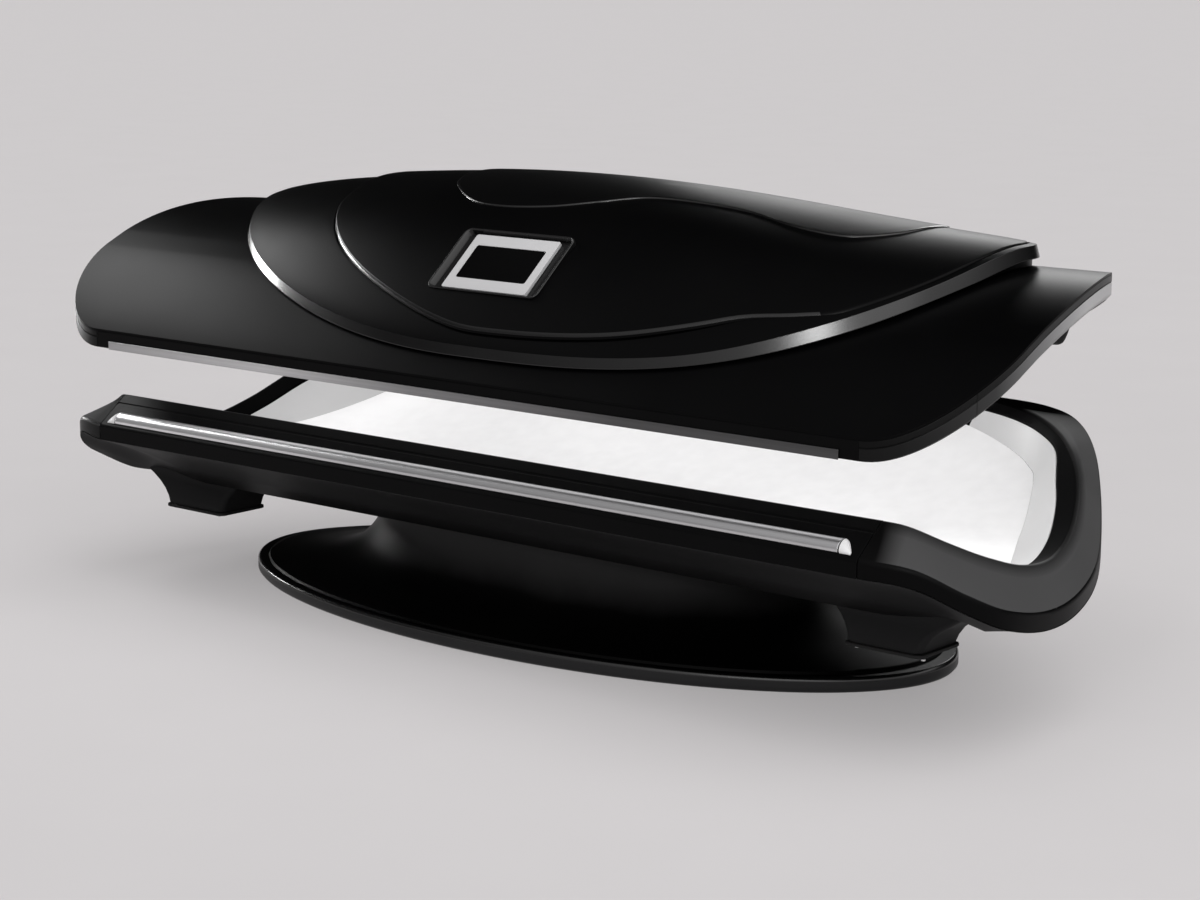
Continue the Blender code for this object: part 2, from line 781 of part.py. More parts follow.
# Canopy
def band_section(k):
    """Section of the canopy edge band at one plan station."""
    pts = []
    for inset, drop in BAND_PROFILE:
        x, y = plan(inset)[k]
        pts.append((x, y, skin_z(y) - drop))
    return pts


def canopy_edge(band_mat, corner_mat):
    last = len(plan()) - 1
    sections = [band_section(k) for k in range(last + 1)]
    straight_rail("canopy_front_rail", sections[0], FRONT_HALF - SEAM, corner_mat)
    straight_rail("canopy_rear_rail", sections[last], BACK_FLAT - SEAM, band_mat)
    corner = sections[:CORNER_END + 1]
    tail = sections[CORNER_END:]
    first = [Vector(p).lerp(Vector(q), END_SEAM) for p, q in zip(tail[0], tail[1])]
    tail = [first] + tail[1:]
    for side, flip in (("right", False), ("left", True)):
        chain("canopy_corner_" + side, [mirrored(s) for s in corner] if flip else corner, corner_mat)
        chain("canopy_end_trim_" + side, [mirrored(s) for s in tail] if flip else tail, band_mat)


def canopy_sheets(skin_mat, acrylic_mat, tray_mat, board_mat):
    sheet("canopy_skin", [(x, y, skin_z(y)) for x, y in plan()], SKIN_T, skin_mat)
    rows = [(x, y, skin_z(y) - DIFFUSER_DROP + ACRYLIC_T) for x, y in plan(DIFFUSER_IN)]
    sheet("canopy_acrylic", rows, ACRYLIC_T, acrylic_mat)
    rows = [(x, y, skin_z(y) - CANOPY_TRAY_DROP) for x, y in plan(LIP_IN)]
    sheet("canopy_light_tray", rows, TRAY_T, tray_mat)
    top = CANOPY_TRAY_DROP + TRAY_T + CURVE_GAP
    rows = [(x, y, skin_z(y) - top) for x, y in plan(LIP_IN + BOARD_IN)]
    sheet("canopy_led_board", rows, BOARD_T, board_mat)


def canopy_ribs(mat):
    ys = [y for _, y in plan() if RIB_FRONT < y < RIB_BACK]
    outline = [(y, skin_z(y) - SKIN_T - GAP) for y in ys]
    outline += [(y, skin_z(y) - CANOPY_TRAY_DROP + 2 * CURVE_GAP) for y in reversed(ys)]
    for place, x in (("left", -RIB_X), ("middle", 0.0), ("right", RIB_X)):
        solid("canopy_rib_" + place, *prism_data(outline, x - RIB_T / 2, x + RIB_T / 2), mat)


def canopy_trim(strip_mat):
    low = skin_z(FRONT_Y) - BAND_FOOT + CANOPY_TRIM_LOW
    y0 = FRONT_Y - GAP
    y1 = y0 - CANOPY_TRIM_OUT
    c = CANOPY_TRIM_OUT * 0.5
    high = low + CANOPY_TRIM_H
    outline = ((y0, low), (y0, high), (y1 + c, high), (y1, high - c), (y1, low + c), (y1 + c, low))
    half = FRONT_HALF - CANOPY_TRIM_END_IN
    solid("canopy_trim_strip", *prism_data(outline, -half, half), strip_mat)


def bumpers(mat):
    """Rounded pads under the swept part of the canopy ends."""
    lean = math.asin(BUMPER_Y / CANOPY_R)
    rot = Matrix.Rotation(-lean, 3, "X")
    top = Vector((0.0, BUMPER_Y, skin_z(BUMPER_Y) - BAND_FLANGE_DROP))
    top -= rot @ Vector((0.0, 0.0, CURVE_GAP))
    profile = ((0, -BUMPER_H), (BUMPER_R * 0.6, -BUMPER_H), (BUMPER_R * 0.9, -BUMPER_H * 0.7),
               (BUMPER_R, -BUMPER_H * 0.3), (BUMPER_R, 0), (0, 0))
    for side, sign in (("left", -1), ("right", 1)):
        verts, faces = turned_data(profile, (0, 0, 0), sides=20)
        at = top + Vector((sign * plan_x(BUMPER_IN, BUMPER_Y), 0.0, 0.0))
        solid("canopy_bumper_" + side, [rot @ v + at for v in verts], faces, mat)


# Cowl
def spokes():
    return [2 * math.pi * (k + 0.5) / SPOKES for k in range(SPOKES)]


def cowl_outer(mat):
    sections = []
    for ang in spokes():
        edge = step_rho(ang)
        sec = []
        x, y = cowl_point(1.0, ang)
        sec.append((x, y, skin_z(y) + 2 * CURVE_GAP))
        sec.append((x, y, skin_z(y) + COWL_LIP * 0.85))
        for rho in ((1.0 + edge) / 2 + (1.0 - edge) * 0.4, (1.0 + edge) / 2, edge, edge - REBATE):
            x, y = cowl_point(rho, ang)
            sec.append((x, y, cowl_z(x, y)))
        for rho, down in ((edge - REBATE, COWL_T), (min(edge, LIP_INNER), COWL_T), (LIP_INNER, COWL_T)):
            x, y = cowl_point(rho, ang)
            sec.append((x, y, cowl_z(x, y) - down))
        x, y = cowl_point(LIP_INNER, ang)
        sec.append((x, y, skin_z(y) + 2 * CURVE_GAP))
        sections.append(sec)
    return chain("outer_cowl", sections, mat, closed=True)


def cowl_inner(mat):
    rings = []
    for part in (1.0, 0.985, 0.85, 0.68, 0.50, 0.32, 0.15):
        ring = []
        for ang in spokes():
            x, y = cowl_point(part * step_rho(ang), ang)
            lift = COWL_STEP if part < 0.99 else COWL_STEP * 0.6
            ring.append((x, y, cowl_z(x, y) + lift))
        rings.append(ring)
    under = []
    for part, lift in ((0.15, COWL_STEP - COWL_T), (0.32, COWL_STEP - COWL_T), (0.50, COWL_STEP - COWL_T),
                       (0.68, COWL_STEP - COWL_T), (0.85, COWL_STEP - COWL_T), (0.985, COWL_STEP - COWL_T),
                       (0.985, CURVE_GAP), (1.0, CURVE_GAP)):
        ring = []
        for ang in spokes():
            x, y = cowl_point(part * step_rho(ang), ang)
            ring.append((x, y, cowl_z(x, y) + lift))
        under.append(ring)
    rings += under
    n = SPOKES
    verts = [p for ring in rings for p in ring]
    faces = []
    count = len(rings)
    crown = 6
    for i in range(count):
        j = (i + 1) % count
        if i == crown:
            continue
        for k in range(n):
            m = (k + 1) % n
            faces.append((i * n + k, i * n + m, j * n + m, j * n + k))
    for i, lift in ((crown, COWL_STEP), (crown + 1, COWL_STEP - COWL_T)):
        top = len(verts)
        verts.append((COWL_X, 0.0, cowl_z(COWL_X, 0.0) + lift))
        faces += [(i * n + k, i * n + (k + 1) % n, top) for k in range(n)]
    return solid("inner_cowl", verts, faces, mat)


def panel_outline(grow):
    """Closed S-edged outline of the top panel, the same on the front and the back."""
    front = [(p.x, p.y) for p in through([(x, y, 0.0) for x, y in PANEL_LINE], PANEL_STEPS)]
    loop = front + [(x, -y) for x, y in reversed(front[1:-1])]
    n = len(loop)
    out = []
    for k in range(n):
        ax, ay = loop[k - 1]
        bx, by = loop[(k + 1) % n]
        tx = bx - ax
        ty = by - ay
        size = math.hypot(tx, ty)
        out.append((loop[k][0] + grow * ty / size, loop[k][1] - grow * tx / size))
    return out


def top_panel(mat):
    outline = panel_outline(0.0)
    mid = (COWL_X + PANEL_MID, 0.0)
    rings = []
    top = PANEL_RAISE
    low = PANEL_RAISE - COWL_T
    for part, lift in ((1.0, top * 0.4), (0.975, top), (0.7, top), (0.4, top),
                       (0.4, low), (0.7, low), (0.975, low), (1.0, low)):
        ring = []
        for x, y in outline:
            px = mid[0] + (x - mid[0]) * part
            py = mid[1] + (y - mid[1]) * part
            ring.append((px, py, cowl_z(px, py) + COWL_STEP + lift))
        rings.append(ring)
    n = len(outline)
    verts = [p for ring in rings for p in ring]
    faces = []
    for i in range(len(rings)):
        j = (i + 1) % len(rings)
        if i == 3:
            continue
        for k in range(n):
            m = (k + 1) % n
            faces.append((i * n + k, i * n + m, j * n + m, j * n + k))
    for i, lift in ((3, PANEL_RAISE), (4, PANEL_RAISE - COWL_T)):
        top = len(verts)
        verts.append((mid[0], 0.0, cowl_z(mid[0], 0.0) + COWL_STEP + lift))
        faces += [(i * n + k, i * n + (k + 1) % n, top) for k in range(n)]
    return solid("top_panel", verts, faces, mat)


def panel_cutter(mat):
    outline = panel_outline(PANEL_GAP)
    low = [(x, y, cowl_z(x, y) - 0.060) for x, y in outline]
    high = [(x, y, cowl_z(x, y) + 0.060) for x, y in outline]
    return stack("panel_opening", [low, high], mat)


# Screen
def screen_frame_of(u, v, n):
    """Point in the plane of the screen: along the length, up the slope, out of the face."""
    tilt = math.radians(SCREEN_TILT)
    up = Vector((0.0, math.cos(tilt), math.sin(tilt)))
    out = Vector((0.0, -math.sin(tilt), math.cos(tilt)))
    centre = Vector((SCREEN_X + u, SCREEN_Y, cowl_z(SCREEN_X, SCREEN_Y) + SCREEN_UP))
    return centre + up * v + out * n


def plate(name, w, l, low, high, v0, mat, r=0.004):
    rings = []
    for n in (low, high):
        rings.append([screen_frame_of(x, y + v0, n) for x, y, _ in rounded(w / 2, l / 2, r, (0, 0, 0), 2)])
    return stack(name, rings, mat)


def tray_ring(w, l, n, v0=0.0, r=0.004):
    return [screen_frame_of(x, y + v0, n) for x, y, _ in rounded(w / 2, l / 2, r, (0, 0, 0), 2)]


def screen_parts(cowl, frame_mat, bezel_mat, glass_mat):
    inner_w = SCREEN_W - 2 * RECESS_WALL
    inner_l = SCREEN_L - 2 * RECESS_WALL
    rings = [
        tray_ring(SCREEN_W, SCREEN_L, -RECESS - RECESS_T),
        tray_ring(SCREEN_W, SCREEN_L, RECESS_UP),
        tray_ring(inner_w, inner_l, RECESS_UP),
        tray_ring(inner_w, inner_l, -RECESS),
    ]
    stack("screen_frame", rings, frame_mat)
    low = -RECESS + GAP
    high = low + BEZEL_T
    pocket = high - GLASS_T
    rings = [
        tray_ring(BEZEL_W, BEZEL_L, low, BEZEL_OFF),
        tray_ring(BEZEL_W, BEZEL_L, high, BEZEL_OFF),
        tray_ring(GLASS_W, GLASS_L, high, BEZEL_OFF),
        tray_ring(GLASS_W, GLASS_L, pocket, BEZEL_OFF),
    ]
    stack("screen_bezel", rings, bezel_mat)
    glass_w = GLASS_W - 2 * GAP
    glass_l = GLASS_L - 2 * GAP
    plate("touch_screen", glass_w, glass_l, pocket + GAP, high - GAP, BEZEL_OFF, glass_mat)
    hole_w = SCREEN_W + 2 * SEAM
    hole_l = SCREEN_L + 2 * SEAM
    cutter = plate("screen_opening", hole_w, hole_l, -0.080, 0.080, 0.0, frame_mat)
    cut(cowl, cutter)


# Hinges
def hinge_z():
    return skin_z(BACK_Y) - HINGE_DROP


def knuckle(start, stop, steps=10):
    out = []
    for k in range(steps + 1):
        ang = math.radians(start + (stop - start) * k / steps)
        out.append((HINGE_Y + KNUCKLE_R * math.cos(ang), hinge_z() + KNUCKLE_R * math.sin(ang)))
    return out


def hinges(steel_mat, pin_mat):
    y0 = BACK_Y + GAP
    y1 = y0 + LEAF_T
    low = REAR_EDGE_Z - RIM_SKIRT + GAP
    eye = knuckle(-50, 160)
    bench = [(y0, low), (y1, low), (y1, low + LEAF_H)] + eye + [(y0, REAR_EDGE_Z)]
    flat = []
    for k in range(len(eye)):
        t = (k + 1) / (len(eye) + 1)
        flat.append((y1 + (y0 - y1) * t, low + LEAF_H + (REAR_EDGE_Z - low - LEAF_H) * t))
    leaf = bench[:3] + flat + bench[-1:]
    top = skin_z(BACK_Y) - SKIN_T - 2 * GAP
    arm = [(y0, top), (y1, top), (y1, top - LEAF_H)] + knuckle(50, -140) + [(y0, top - LEAF_H - LEAF_T)]
    for side, sign in (("left", -1), ("right", 1)):
        x = sign * HINGE_X
        inner = KNUCKLE_W / 2 + SEAM
        outer = inner + KNUCKLE_W
        steps = ((-outer, bench), (-inner, bench), (-inner, leaf),
                 (inner, leaf), (inner, bench), (outer, bench))
        sections = [[(x + d, y, z) for y, z in sec] for d, sec in steps]
        bracket = chain("hinge_bracket_" + side, sections, steel_mat)
        lug = solid("hinge_arm_" + side, *prism_data(arm, x - KNUCKLE_W / 2, x + KNUCKLE_W / 2), steel_mat)
        axis_at = (x, HINGE_Y, hinge_z())
        verts, faces = cylinder_data(PIN_R + PIN_CLEAR, 4 * outer, axis_at, "X")
        bore = solid("hinge_bore_" + side, verts, faces, steel_mat)
        cut(bracket, bore)
        cut(lug, bore)
        end = outer + SEAM
        head = PIN_R * 0.8
        profile = ((0, -end - head), (PIN_R * 1.6, -end - head), (PIN_R * 1.6, -end), (PIN_R, -end),
                   (PIN_R, end), (PIN_R * 1.6, end), (PIN_R * 1.6, end + head), (0, end + head))
        verts, faces = turned_data(profile, axis_at, "X")
        solid("hinge_pin_" + side, verts, faces, pin_mat)


# Fans
def fans(frame_mat, rotor_mat):
    base = skin_z(0.0) + 2 * GAP
    sides = 20
    for side, sign in (("left", -1), ("right", 1)):
        x = sign * FAN_X
        rings = []
        for z, square in ((base, True), (base + FAN_H, True), (base + FAN_H, False), (base, False)):
            ring = []
            for k in range(sides):
                ang = 2 * math.pi * (k + 0.5) / sides
                c = math.cos(ang)
                s = math.sin(ang)
                r = FAN_W / 2 / max(abs(c), abs(s)) if square else FAN_BORE
                r = min(r, FAN_W * 0.64)
                ring.append((x + r * c, r * s, z))
            rings.append(ring)
        n = sides
        verts = [p for ring in rings for p in ring]
        faces = []
        for i in range(4):
            j = (i + 1) % 4
            for k in range(n):
                m = (k + 1) % n
                faces.append((i * n + k, i * n + m, j * n + m, j * n + k))
        solid("fan_housing_" + side, verts, faces, frame_mat)
        rotor("fan_rotor_" + side, (x, 0.0, base + FAN_H / 2), rotor_mat)


def rotor(name, centre, mat):
    """Hub with pitched blades grown out of its wall, origin on the spin axis."""
    bm = bmesh.new()
    steps = BLADES * 4
    half = FAN_H * 0.36
    rings = []
    for z in (-half, -half * 0.5, half * 0.5, half):
        ring = []
        for k in range(steps):
            ang = 2 * math.pi * k / steps
            ring.append(bm.verts.new((HUB_R * math.cos(ang), HUB_R * math.sin(ang), z)))
        rings.append(ring)
    shaft = []
    for z in (-half, -FAN_H / 2):
        ring = []
        for k in range(steps):
            ang = 2 * math.pi * k / steps
            ring.append(bm.verts.new((SHAFT_R * math.cos(ang), SHAFT_R * math.sin(ang), z)))
        shaft.append(ring)
    for low, high in ((shaft[1], shaft[0]), (shaft[0], rings[0])):
        for k in range(steps):
            m = (k + 1) % steps
            bm.faces.new((low[k], low[m], high[m], high[k]))
    bm.faces.new(shaft[1])
    bm.faces.new(rings[-1])
    for i in range(3):
        for k in range(steps):
            m = (k + 1) % steps
            blade = i == 1 and k % 4 == 0
            if not blade:
                bm.faces.new((rings[i][k], rings[i][m], rings[i + 1][m], rings[i + 1][k]))
                continue
            tips = []
            for turn, z in ((0.0, -half * 0.6), (0.16, -half * 0.3), (0.34, half * 0.6), (0.18, half * 0.3)):
                ang = 2 * math.pi * k / steps + turn
                tips.append(bm.verts.new((FAN_TIP * math.cos(ang), FAN_TIP * math.sin(ang), z)))
            root = [rings[i][k], rings[i][m], rings[i + 1][m], rings[i + 1][k]]
            bm.faces.new(tips)
            for q in range(4):
                w = (q + 1) % 4
                bm.faces.new((root[q], root[w], tips[w], tips[q]))
    bmesh.ops.recalc_face_normals(bm, faces=bm.faces)
    mesh = bpy.data.meshes.new(name)
    bm.to_mesh(mesh)
    bm.free()
    mesh.materials.append(mat)
    obj = bpy.data.objects.new(name, mesh)
    obj.location = centre
    bpy.context.collection.objects.link(obj)


def build():
    clear_scene()
    black = material("satin_black", (0.012, 0.012, 0.013), 0.32)
    gloss = material("gloss_black", (0.008, 0.008, 0.009), 0.18)
    graphite = material("graphite", (0.045, 0.045, 0.048), 0.42)
    steel = material("coated_steel", (0.06, 0.06, 0.065), 0.5, 0.3)
    chrome = material("brushed_aluminium", (0.62, 0.62, 0.63), 0.25, 1.0)
    silver = material("silver_trim", (0.42, 0.42, 0.43), 0.35, 1.0)
    plug = material("pale_plug", (0.55, 0.55, 0.54), 0.4)
    acrylic = material("opal_acrylic", (0.87, 0.87, 0.87), 0.2)
    filler = material("white_filler", (0.72, 0.72, 0.72), 0.4)
    sheet_metal = material("sheet_metal", (0.55, 0.56, 0.57), 0.4, 0.8)
    board = material("led_board", (0.80, 0.80, 0.78), 0.5)
    supply = material("supply_case", (0.5, 0.51, 0.52), 0.45, 0.7)
    rubber = material("rubber", (0.015, 0.015, 0.015), 0.8)
    screw = material("zinc_screw", (0.6, 0.6, 0.6), 0.35, 1.0)
    glass = material("screen_glass", (0.003, 0.003, 0.004), 0.1)
    bezel = material("screen_bezel", (0.36, 0.36, 0.37), 0.4, 0.2)
    fan = material("fan_plastic", (0.02, 0.02, 0.022), 0.5)

    floor_plate(black)
    skirt(black)
    pedestal_frame(steel)
    hull(black)
    bench_rims(gloss, graphite)
    bench_sheets(acrylic, sheet_metal, board)
    end_filler("bench_end_filler_right", 1, filler)
    end_filler("bench_end_filler_left", -1, filler)
    bench_inside(steel, supply)
    front_trim(chrome, plug)
    feet(black, rubber, screw)
    mains_gland(fan)
    canopy_edge(graphite, gloss)
    canopy_sheets(black, acrylic, sheet_metal, board)
    canopy_ribs(steel)
    canopy_trim(silver)
    bumpers(rubber)
    cowl_outer(black)
    cowl = cowl_inner(black)
    top_panel(gloss)
    cut(cowl, panel_cutter(black))
    screen_parts(cowl, gloss, bezel, glass)
    hinges(steel, screw)
    fans(fan, fan)


build()
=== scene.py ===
import json
import math

import bmesh
import bpy
from mathutils import Matrix, Vector

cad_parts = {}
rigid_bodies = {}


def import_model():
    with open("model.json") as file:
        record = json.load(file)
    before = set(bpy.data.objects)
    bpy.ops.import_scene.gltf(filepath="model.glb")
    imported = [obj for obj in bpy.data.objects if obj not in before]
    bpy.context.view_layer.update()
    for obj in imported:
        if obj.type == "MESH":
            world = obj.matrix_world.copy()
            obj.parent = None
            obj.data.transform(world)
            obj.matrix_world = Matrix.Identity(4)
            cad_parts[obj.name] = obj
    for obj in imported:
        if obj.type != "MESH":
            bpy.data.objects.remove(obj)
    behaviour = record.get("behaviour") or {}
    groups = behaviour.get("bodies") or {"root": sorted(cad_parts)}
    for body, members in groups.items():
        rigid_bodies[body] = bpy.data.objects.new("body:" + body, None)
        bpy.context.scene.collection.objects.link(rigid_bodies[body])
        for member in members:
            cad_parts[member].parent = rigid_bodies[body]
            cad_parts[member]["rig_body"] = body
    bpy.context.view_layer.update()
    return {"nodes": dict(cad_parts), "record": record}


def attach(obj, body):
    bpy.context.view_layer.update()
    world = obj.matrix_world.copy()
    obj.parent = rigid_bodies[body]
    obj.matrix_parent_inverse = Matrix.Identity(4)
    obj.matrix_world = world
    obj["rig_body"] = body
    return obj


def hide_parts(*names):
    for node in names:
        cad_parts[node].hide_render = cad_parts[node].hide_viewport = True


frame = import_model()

# Sizes of the part, in metres
HALF_LENGTH = 1.150
FRONT_Y = -0.515
CORNER_R = 0.193
BACK_Y = 0.478
BACK_FLAT = 0.460
SWEEP_Y = -0.276
FRONT_HALF = HALF_LENGTH - CORNER_R
GAP = 0.0003
SEAM = 0.0004
CURVE_GAP = 0.0008
SEAT_LOW_Y = -0.130
SEAT_LOW_Z = 0.272
SEAT_FRONT_R = 0.424
SEAT_BACK_R = 0.877
ACRYLIC_T = 0.004
RAIL_EDGE_Z = 0.352
RAIL_TOP_Z = 0.4075
RAIL_TOP_Y = -0.442
RAIL_SEAT_Y = -0.420
RAIL_SEAT_Z = 0.385
REAR_EDGE_Z = 0.448
REAR_TOP_Z = 0.458
REAR_TOP_Y = 0.424
REAR_SEAT_Y = 0.390
REAR_SEAT_Z = 0.445
RIM_SKIRT = 0.034
RIM_ROUND = 0.003
RIM_BASE_T = 0.012
WALL_BLEND = 0.130
FILLER_T = 0.003
FILLER_W = 0.022
FILLER_SKIP = 3
OUTER_EDGE = (
    (FRONT_HALF, FRONT_Y, RAIL_EDGE_Z),
    (HALF_LENGTH - 0.097, -0.489, 0.343),
    (HALF_LENGTH - 0.035, -0.432, 0.302),
    (HALF_LENGTH - 0.003, -0.355, 0.266),
    (HALF_LENGTH, -0.235, 0.243),
    (HALF_LENGTH - 0.018, -0.105, 0.245),
    (HALF_LENGTH - 0.065, 0.040, 0.268),
    (HALF_LENGTH - 0.120, 0.145, 0.332),
    (HALF_LENGTH - 0.185, 0.235, 0.415),
    (HALF_LENGTH - 0.270, 0.320, 0.455),
    (HALF_LENGTH - 0.380, 0.398, 0.462),
    (HALF_LENGTH - 0.530, 0.457, 0.456),
    (BACK_FLAT, BACK_Y, REAR_EDGE_Z),
)
INNER_EDGE = (
    (FRONT_HALF, RAIL_TOP_Y, RAIL_TOP_Z),
    (HALF_LENGTH - 0.160, -0.410, 0.396),
    (HALF_LENGTH - 0.120, -0.350, 0.364),
    (HALF_LENGTH - 0.088, -0.275, 0.331),
    (HALF_LENGTH - 0.072, -0.190, 0.306),
    (HALF_LENGTH - 0.072, -0.100, 0.304),
    (HALF_LENGTH - 0.092, -0.005, 0.336),
    (HALF_LENGTH - 0.138, 0.092, 0.392),
    (HALF_LENGTH - 0.204, 0.172, 0.430),
    (HALF_LENGTH - 0.292, 0.254, 0.452),
    (HALF_LENGTH - 0.405, 0.334, 0.462),
    (HALF_LENGTH - 0.545, 0.396, 0.463),
    (BACK_FLAT, REAR_TOP_Y, REAR_TOP_Z),
)
RIM_WALL_IN = 0.045
RIM_WALL_DROP = 0.020
WALL_BACK = 0.75
WALL_BACK_Y = 0.10
WALL_BACK_RUN = 0.14
LEFT_RISE = 0.010
LEFT_RISE_RUN = 0.10
LEFT_RISE_Y = -0.08
LEFT_RISE_DEPTH = 0.22
END_LEAD = 0.10
RIM_NEAR = 0.94
RIM_OVER = 0.12
RAIL_GROOVE = 0.0016
GROOVE_LINE = ((0.665, 0.0), (0.672, 1.0), (0.728, 1.0), (0.735, 0.0))
# Shares for the points of the rim's section, and the look of the face after each point
# The first row gives each point's share of the painted grey sheen: full on the flange, fading to black at its
# inner edge
RIM_SHEEN = (0.0, 0.0, 1.0, 1.0, 1.0, 1.0, 0.92, 0.30, 0.0, 0.0, 0.0)
RIM_LIFT = (1.0, 1.0, 1.0, 0.5, 0.5, 0.4, 0.4, 0.1, 0.0, 0.0, 0.0)
RIM_KINDS = (1, 1, 0, 0, 0, 0, 0, 0, 2, 2, 1)
# Where the painted sheen fades out towards the back of the rim, and over what run
RIM_FADE_Y = 0.26
RIM_FADE_RUN = 0.12
SEAT_END = (
    (-0.30, 1.060), (-0.20, 1.034), (-0.10, 0.992), (-0.043, 0.963), (0.028, 0.929), (0.108, 0.894),
    (0.178, 0.861), (0.239, 0.830), (0.295, 0.793), (0.347, 0.758), (0.420, 0.710),
)
END_STEPS = 180
HULL_BOTTOM_Z = 0.205
HULL_T = 0.005
HULL_FLAT_X = 0.900
HULL_FLAT_Y = 0.600
HULL_KNEE = 0.075
HULL_KNEE_MIN = 0.002
HULL_UNDER_SEAT = 0.018
HULL_BEND = 0.45
HULL_STILL = 0.010
TRIM_END_IN = 0.042
TRIM_H = 0.030
TRIM_BULGE = 0.010
TRIM_UP = 0.004
TRIM_LIFT = 0.0004
CAP_R = 0.011
CAP_OFF = 0.003
NOSE_TIP = 0.14
NOSE_POWER = 1.5
BASE_A = 0.865
BASE_B = 0.418
BASE_X = -0.085
BASE_Y = 0.014
BASE_H = 0.030
BASE_ROUND = 0.008
PLINTH_RINGS = 4
LIP_RINGS = 9
SKIRT_T = 0.005
SKIRT_FOLD = 0.022
SKIRT_FOOT = 0.93
SKIRT_TOP = 0.595
SKIRT_LINE = (
    (0.965, 0.0), (0.960, 0.005), (0.860, 0.013), (0.760, 0.028), (0.680, 0.054), (0.625, 0.095),
    (0.600, 0.135),
)
FOOT_END_IN = 0.260
FOOT_Y = -0.261
FOOT_ROUND = 0.014
FOOT_FLARE_Z = 0.160
FOOT_FLARE_RUN = 0.050
# How far each foot grows inwards and outwards: at the sole, and more at the top
FOOT_GROWTH = {"left": (0.008, 0.0, 0.013, 0.017), "right": (0.012, 0.008, -0.010, 0.0)}
FOOT_RINGS = (
    (0.1493, 0.074, 0.074, 0.059, 0.059), (0.1520, 0.076, 0.076, 0.061, 0.061),
    (0.1650, 0.079, 0.081, 0.060, 0.063), (0.1800, 0.085, 0.091, 0.056, 0.067),
    (0.1930, 0.094, 0.106, 0.051, 0.072), (0.2047, 0.106, 0.126, 0.047, 0.078),
    (0.2200, 0.124, 0.150, 0.049, 0.088), (0.2320, 0.140, 0.166, 0.054, 0.098),
)
CANOPY_R = 0.700
CANOPY_FRONT_Z = 0.5514
CANOPY_CZ = CANOPY_FRONT_Z - math.sqrt(CANOPY_R ** 2 - FRONT_Y ** 2)
SKIN_T = 0.004
BAND_FOOT = 0.048
BAND_FLANGE_DROP = 0.062
LIP_IN = 0.075
BAND_PROFILE = (
    (0.0, SKIN_T + CURVE_GAP), (0.0, BAND_FOOT - 0.010), (0.008, BAND_FOOT), (0.045, BAND_FLANGE_DROP),
    (LIP_IN, BAND_FLANGE_DROP), (LIP_IN, BAND_FLANGE_DROP - 0.006), (0.022, BAND_FOOT - 0.002),
    (0.022, SKIN_T + CURVE_GAP),
)
TRIM_GROOVE = ((0.0, 0.0150), (0.0018, 0.0158), (0.0018, 0.0172), (0.0, 0.0180))
END_PROFILE = BAND_PROFILE[:1] + TRIM_GROOVE + BAND_PROFILE[1:]
DIFFUSER_DROP = 0.0504
DIFFUSER_IN = 0.052
BUMPER_IN = 0.056
BUMPER_Y = 0.280
BUMPER_R = 0.030
BUMPER_H = 0.052
CANOPY_TRIM_END_IN = 0.039
CANOPY_TRIM_H = 0.017
CANOPY_TRIM_LOW = 0.008
CANOPY_TRIM_OUT = 0.0025
COWL_X = 0.040
COWL_LEFT = 0.925
COWL_RIGHT = 0.918
COWL_FRONT = 0.485
COWL_BACK = 0.400
COWL_LEFT_N = 2.2
COWL_RIGHT_N = 2.9
COWL_TAIL_N = 1.7
COWL_LIP = 0.020
COWL_CROWN = 0.0762
COWL_LEAN = -0.302
COWL_SAG = -0.348
COWL_POWER = 0.65
# Side, height, and where the fuller edge begins and how it runs, along the length and in depth
EDGE_TIPS = ((-1, 0.012, 0.35, 0.50, -0.32, 0.25), (1, 0.010, 0.45, 0.45, -0.25, 0.25))
COWL_T = 0.004
COWL_STEP = 0.009
REBATE = 0.050
LIP_TOP = 0.993
LIP_RISE = 0.009
LIP_FOOT = 0.968
LIP_UNDER = 0.984
LIP_GAP = 0.0075
GROOVE = 0.0048
COWL_SEAT = 0.006
COWL_SEAT_LOW = 0.010
LIP_STEPS = 12
FLUSH_FROM = 62.0
FLUSH_RUN = 20.0
FLUSH_SHARE = 0.85
SHINY_BELOW = 0.98
INNER_RIM = ((1.0, -0.0036), (0.9988, -0.0014), (0.9970, -0.0004), (0.9945, 0.0))
INNER_SPAN = 0.9345
INNER_RINGS = 44
INNER_UNDER = (0.06, 0.3, 0.5, 0.7, 0.85, 0.985)
STEP_LINE = (
    (-180.0, 0.660), (-155.0, 0.692), (-140.0, 0.761), (-126.0, 0.823), (-108.0, 0.896),
    (-92.0, 0.958), (-84.0, 0.962), (-70.0, 0.950), (-57.0, 0.925), (-51.0, 0.920),
    (-45.0, 0.948), (-40.0, 0.972), (0.0, 0.972),
)
PANEL_LINE = (
    (-0.332, 0.000), (-0.318, -0.076), (-0.282, -0.140), (-0.185, -0.206), (-0.090, -0.223),
    (0.025, -0.208), (0.117, -0.170), (0.201, -0.125), (0.311, -0.112), (0.429, -0.115),
    (0.564, -0.144), (0.669, -0.139), (0.735, -0.080), (0.750, 0.000),
)
PANEL_RAISE = 0.003
PANEL_MID = 0.160
SCREEN_X = 0.036
SCREEN_W = 0.276
SCREEN_L = 0.156
SCREEN_Y = -0.361
SCREEN_UP = 0.009
SCREEN_TILT = 40.7
OPENING_R = 0.0164
OPENING_DEPTH = 0.08
# Insets along and across, corner radius and height of each ring of the recess frame
FRAME_RINGS = (
    (0.0, 0.0, 0.016, -0.014), (0.0, 0.0, 0.016, -0.0006), (0.0006, 0.0006, 0.0156, 0.0008),
    (0.0020, 0.0016, 0.0146, 0.0013), (0.0042, 0.0030, 0.0130, 0.0008), (0.0062, 0.0040, 0.0115, -0.0010),
    (0.0100, 0.0056, 0.0090, -0.0060), (0.0120, 0.0064, 0.0080, -0.0100),
)

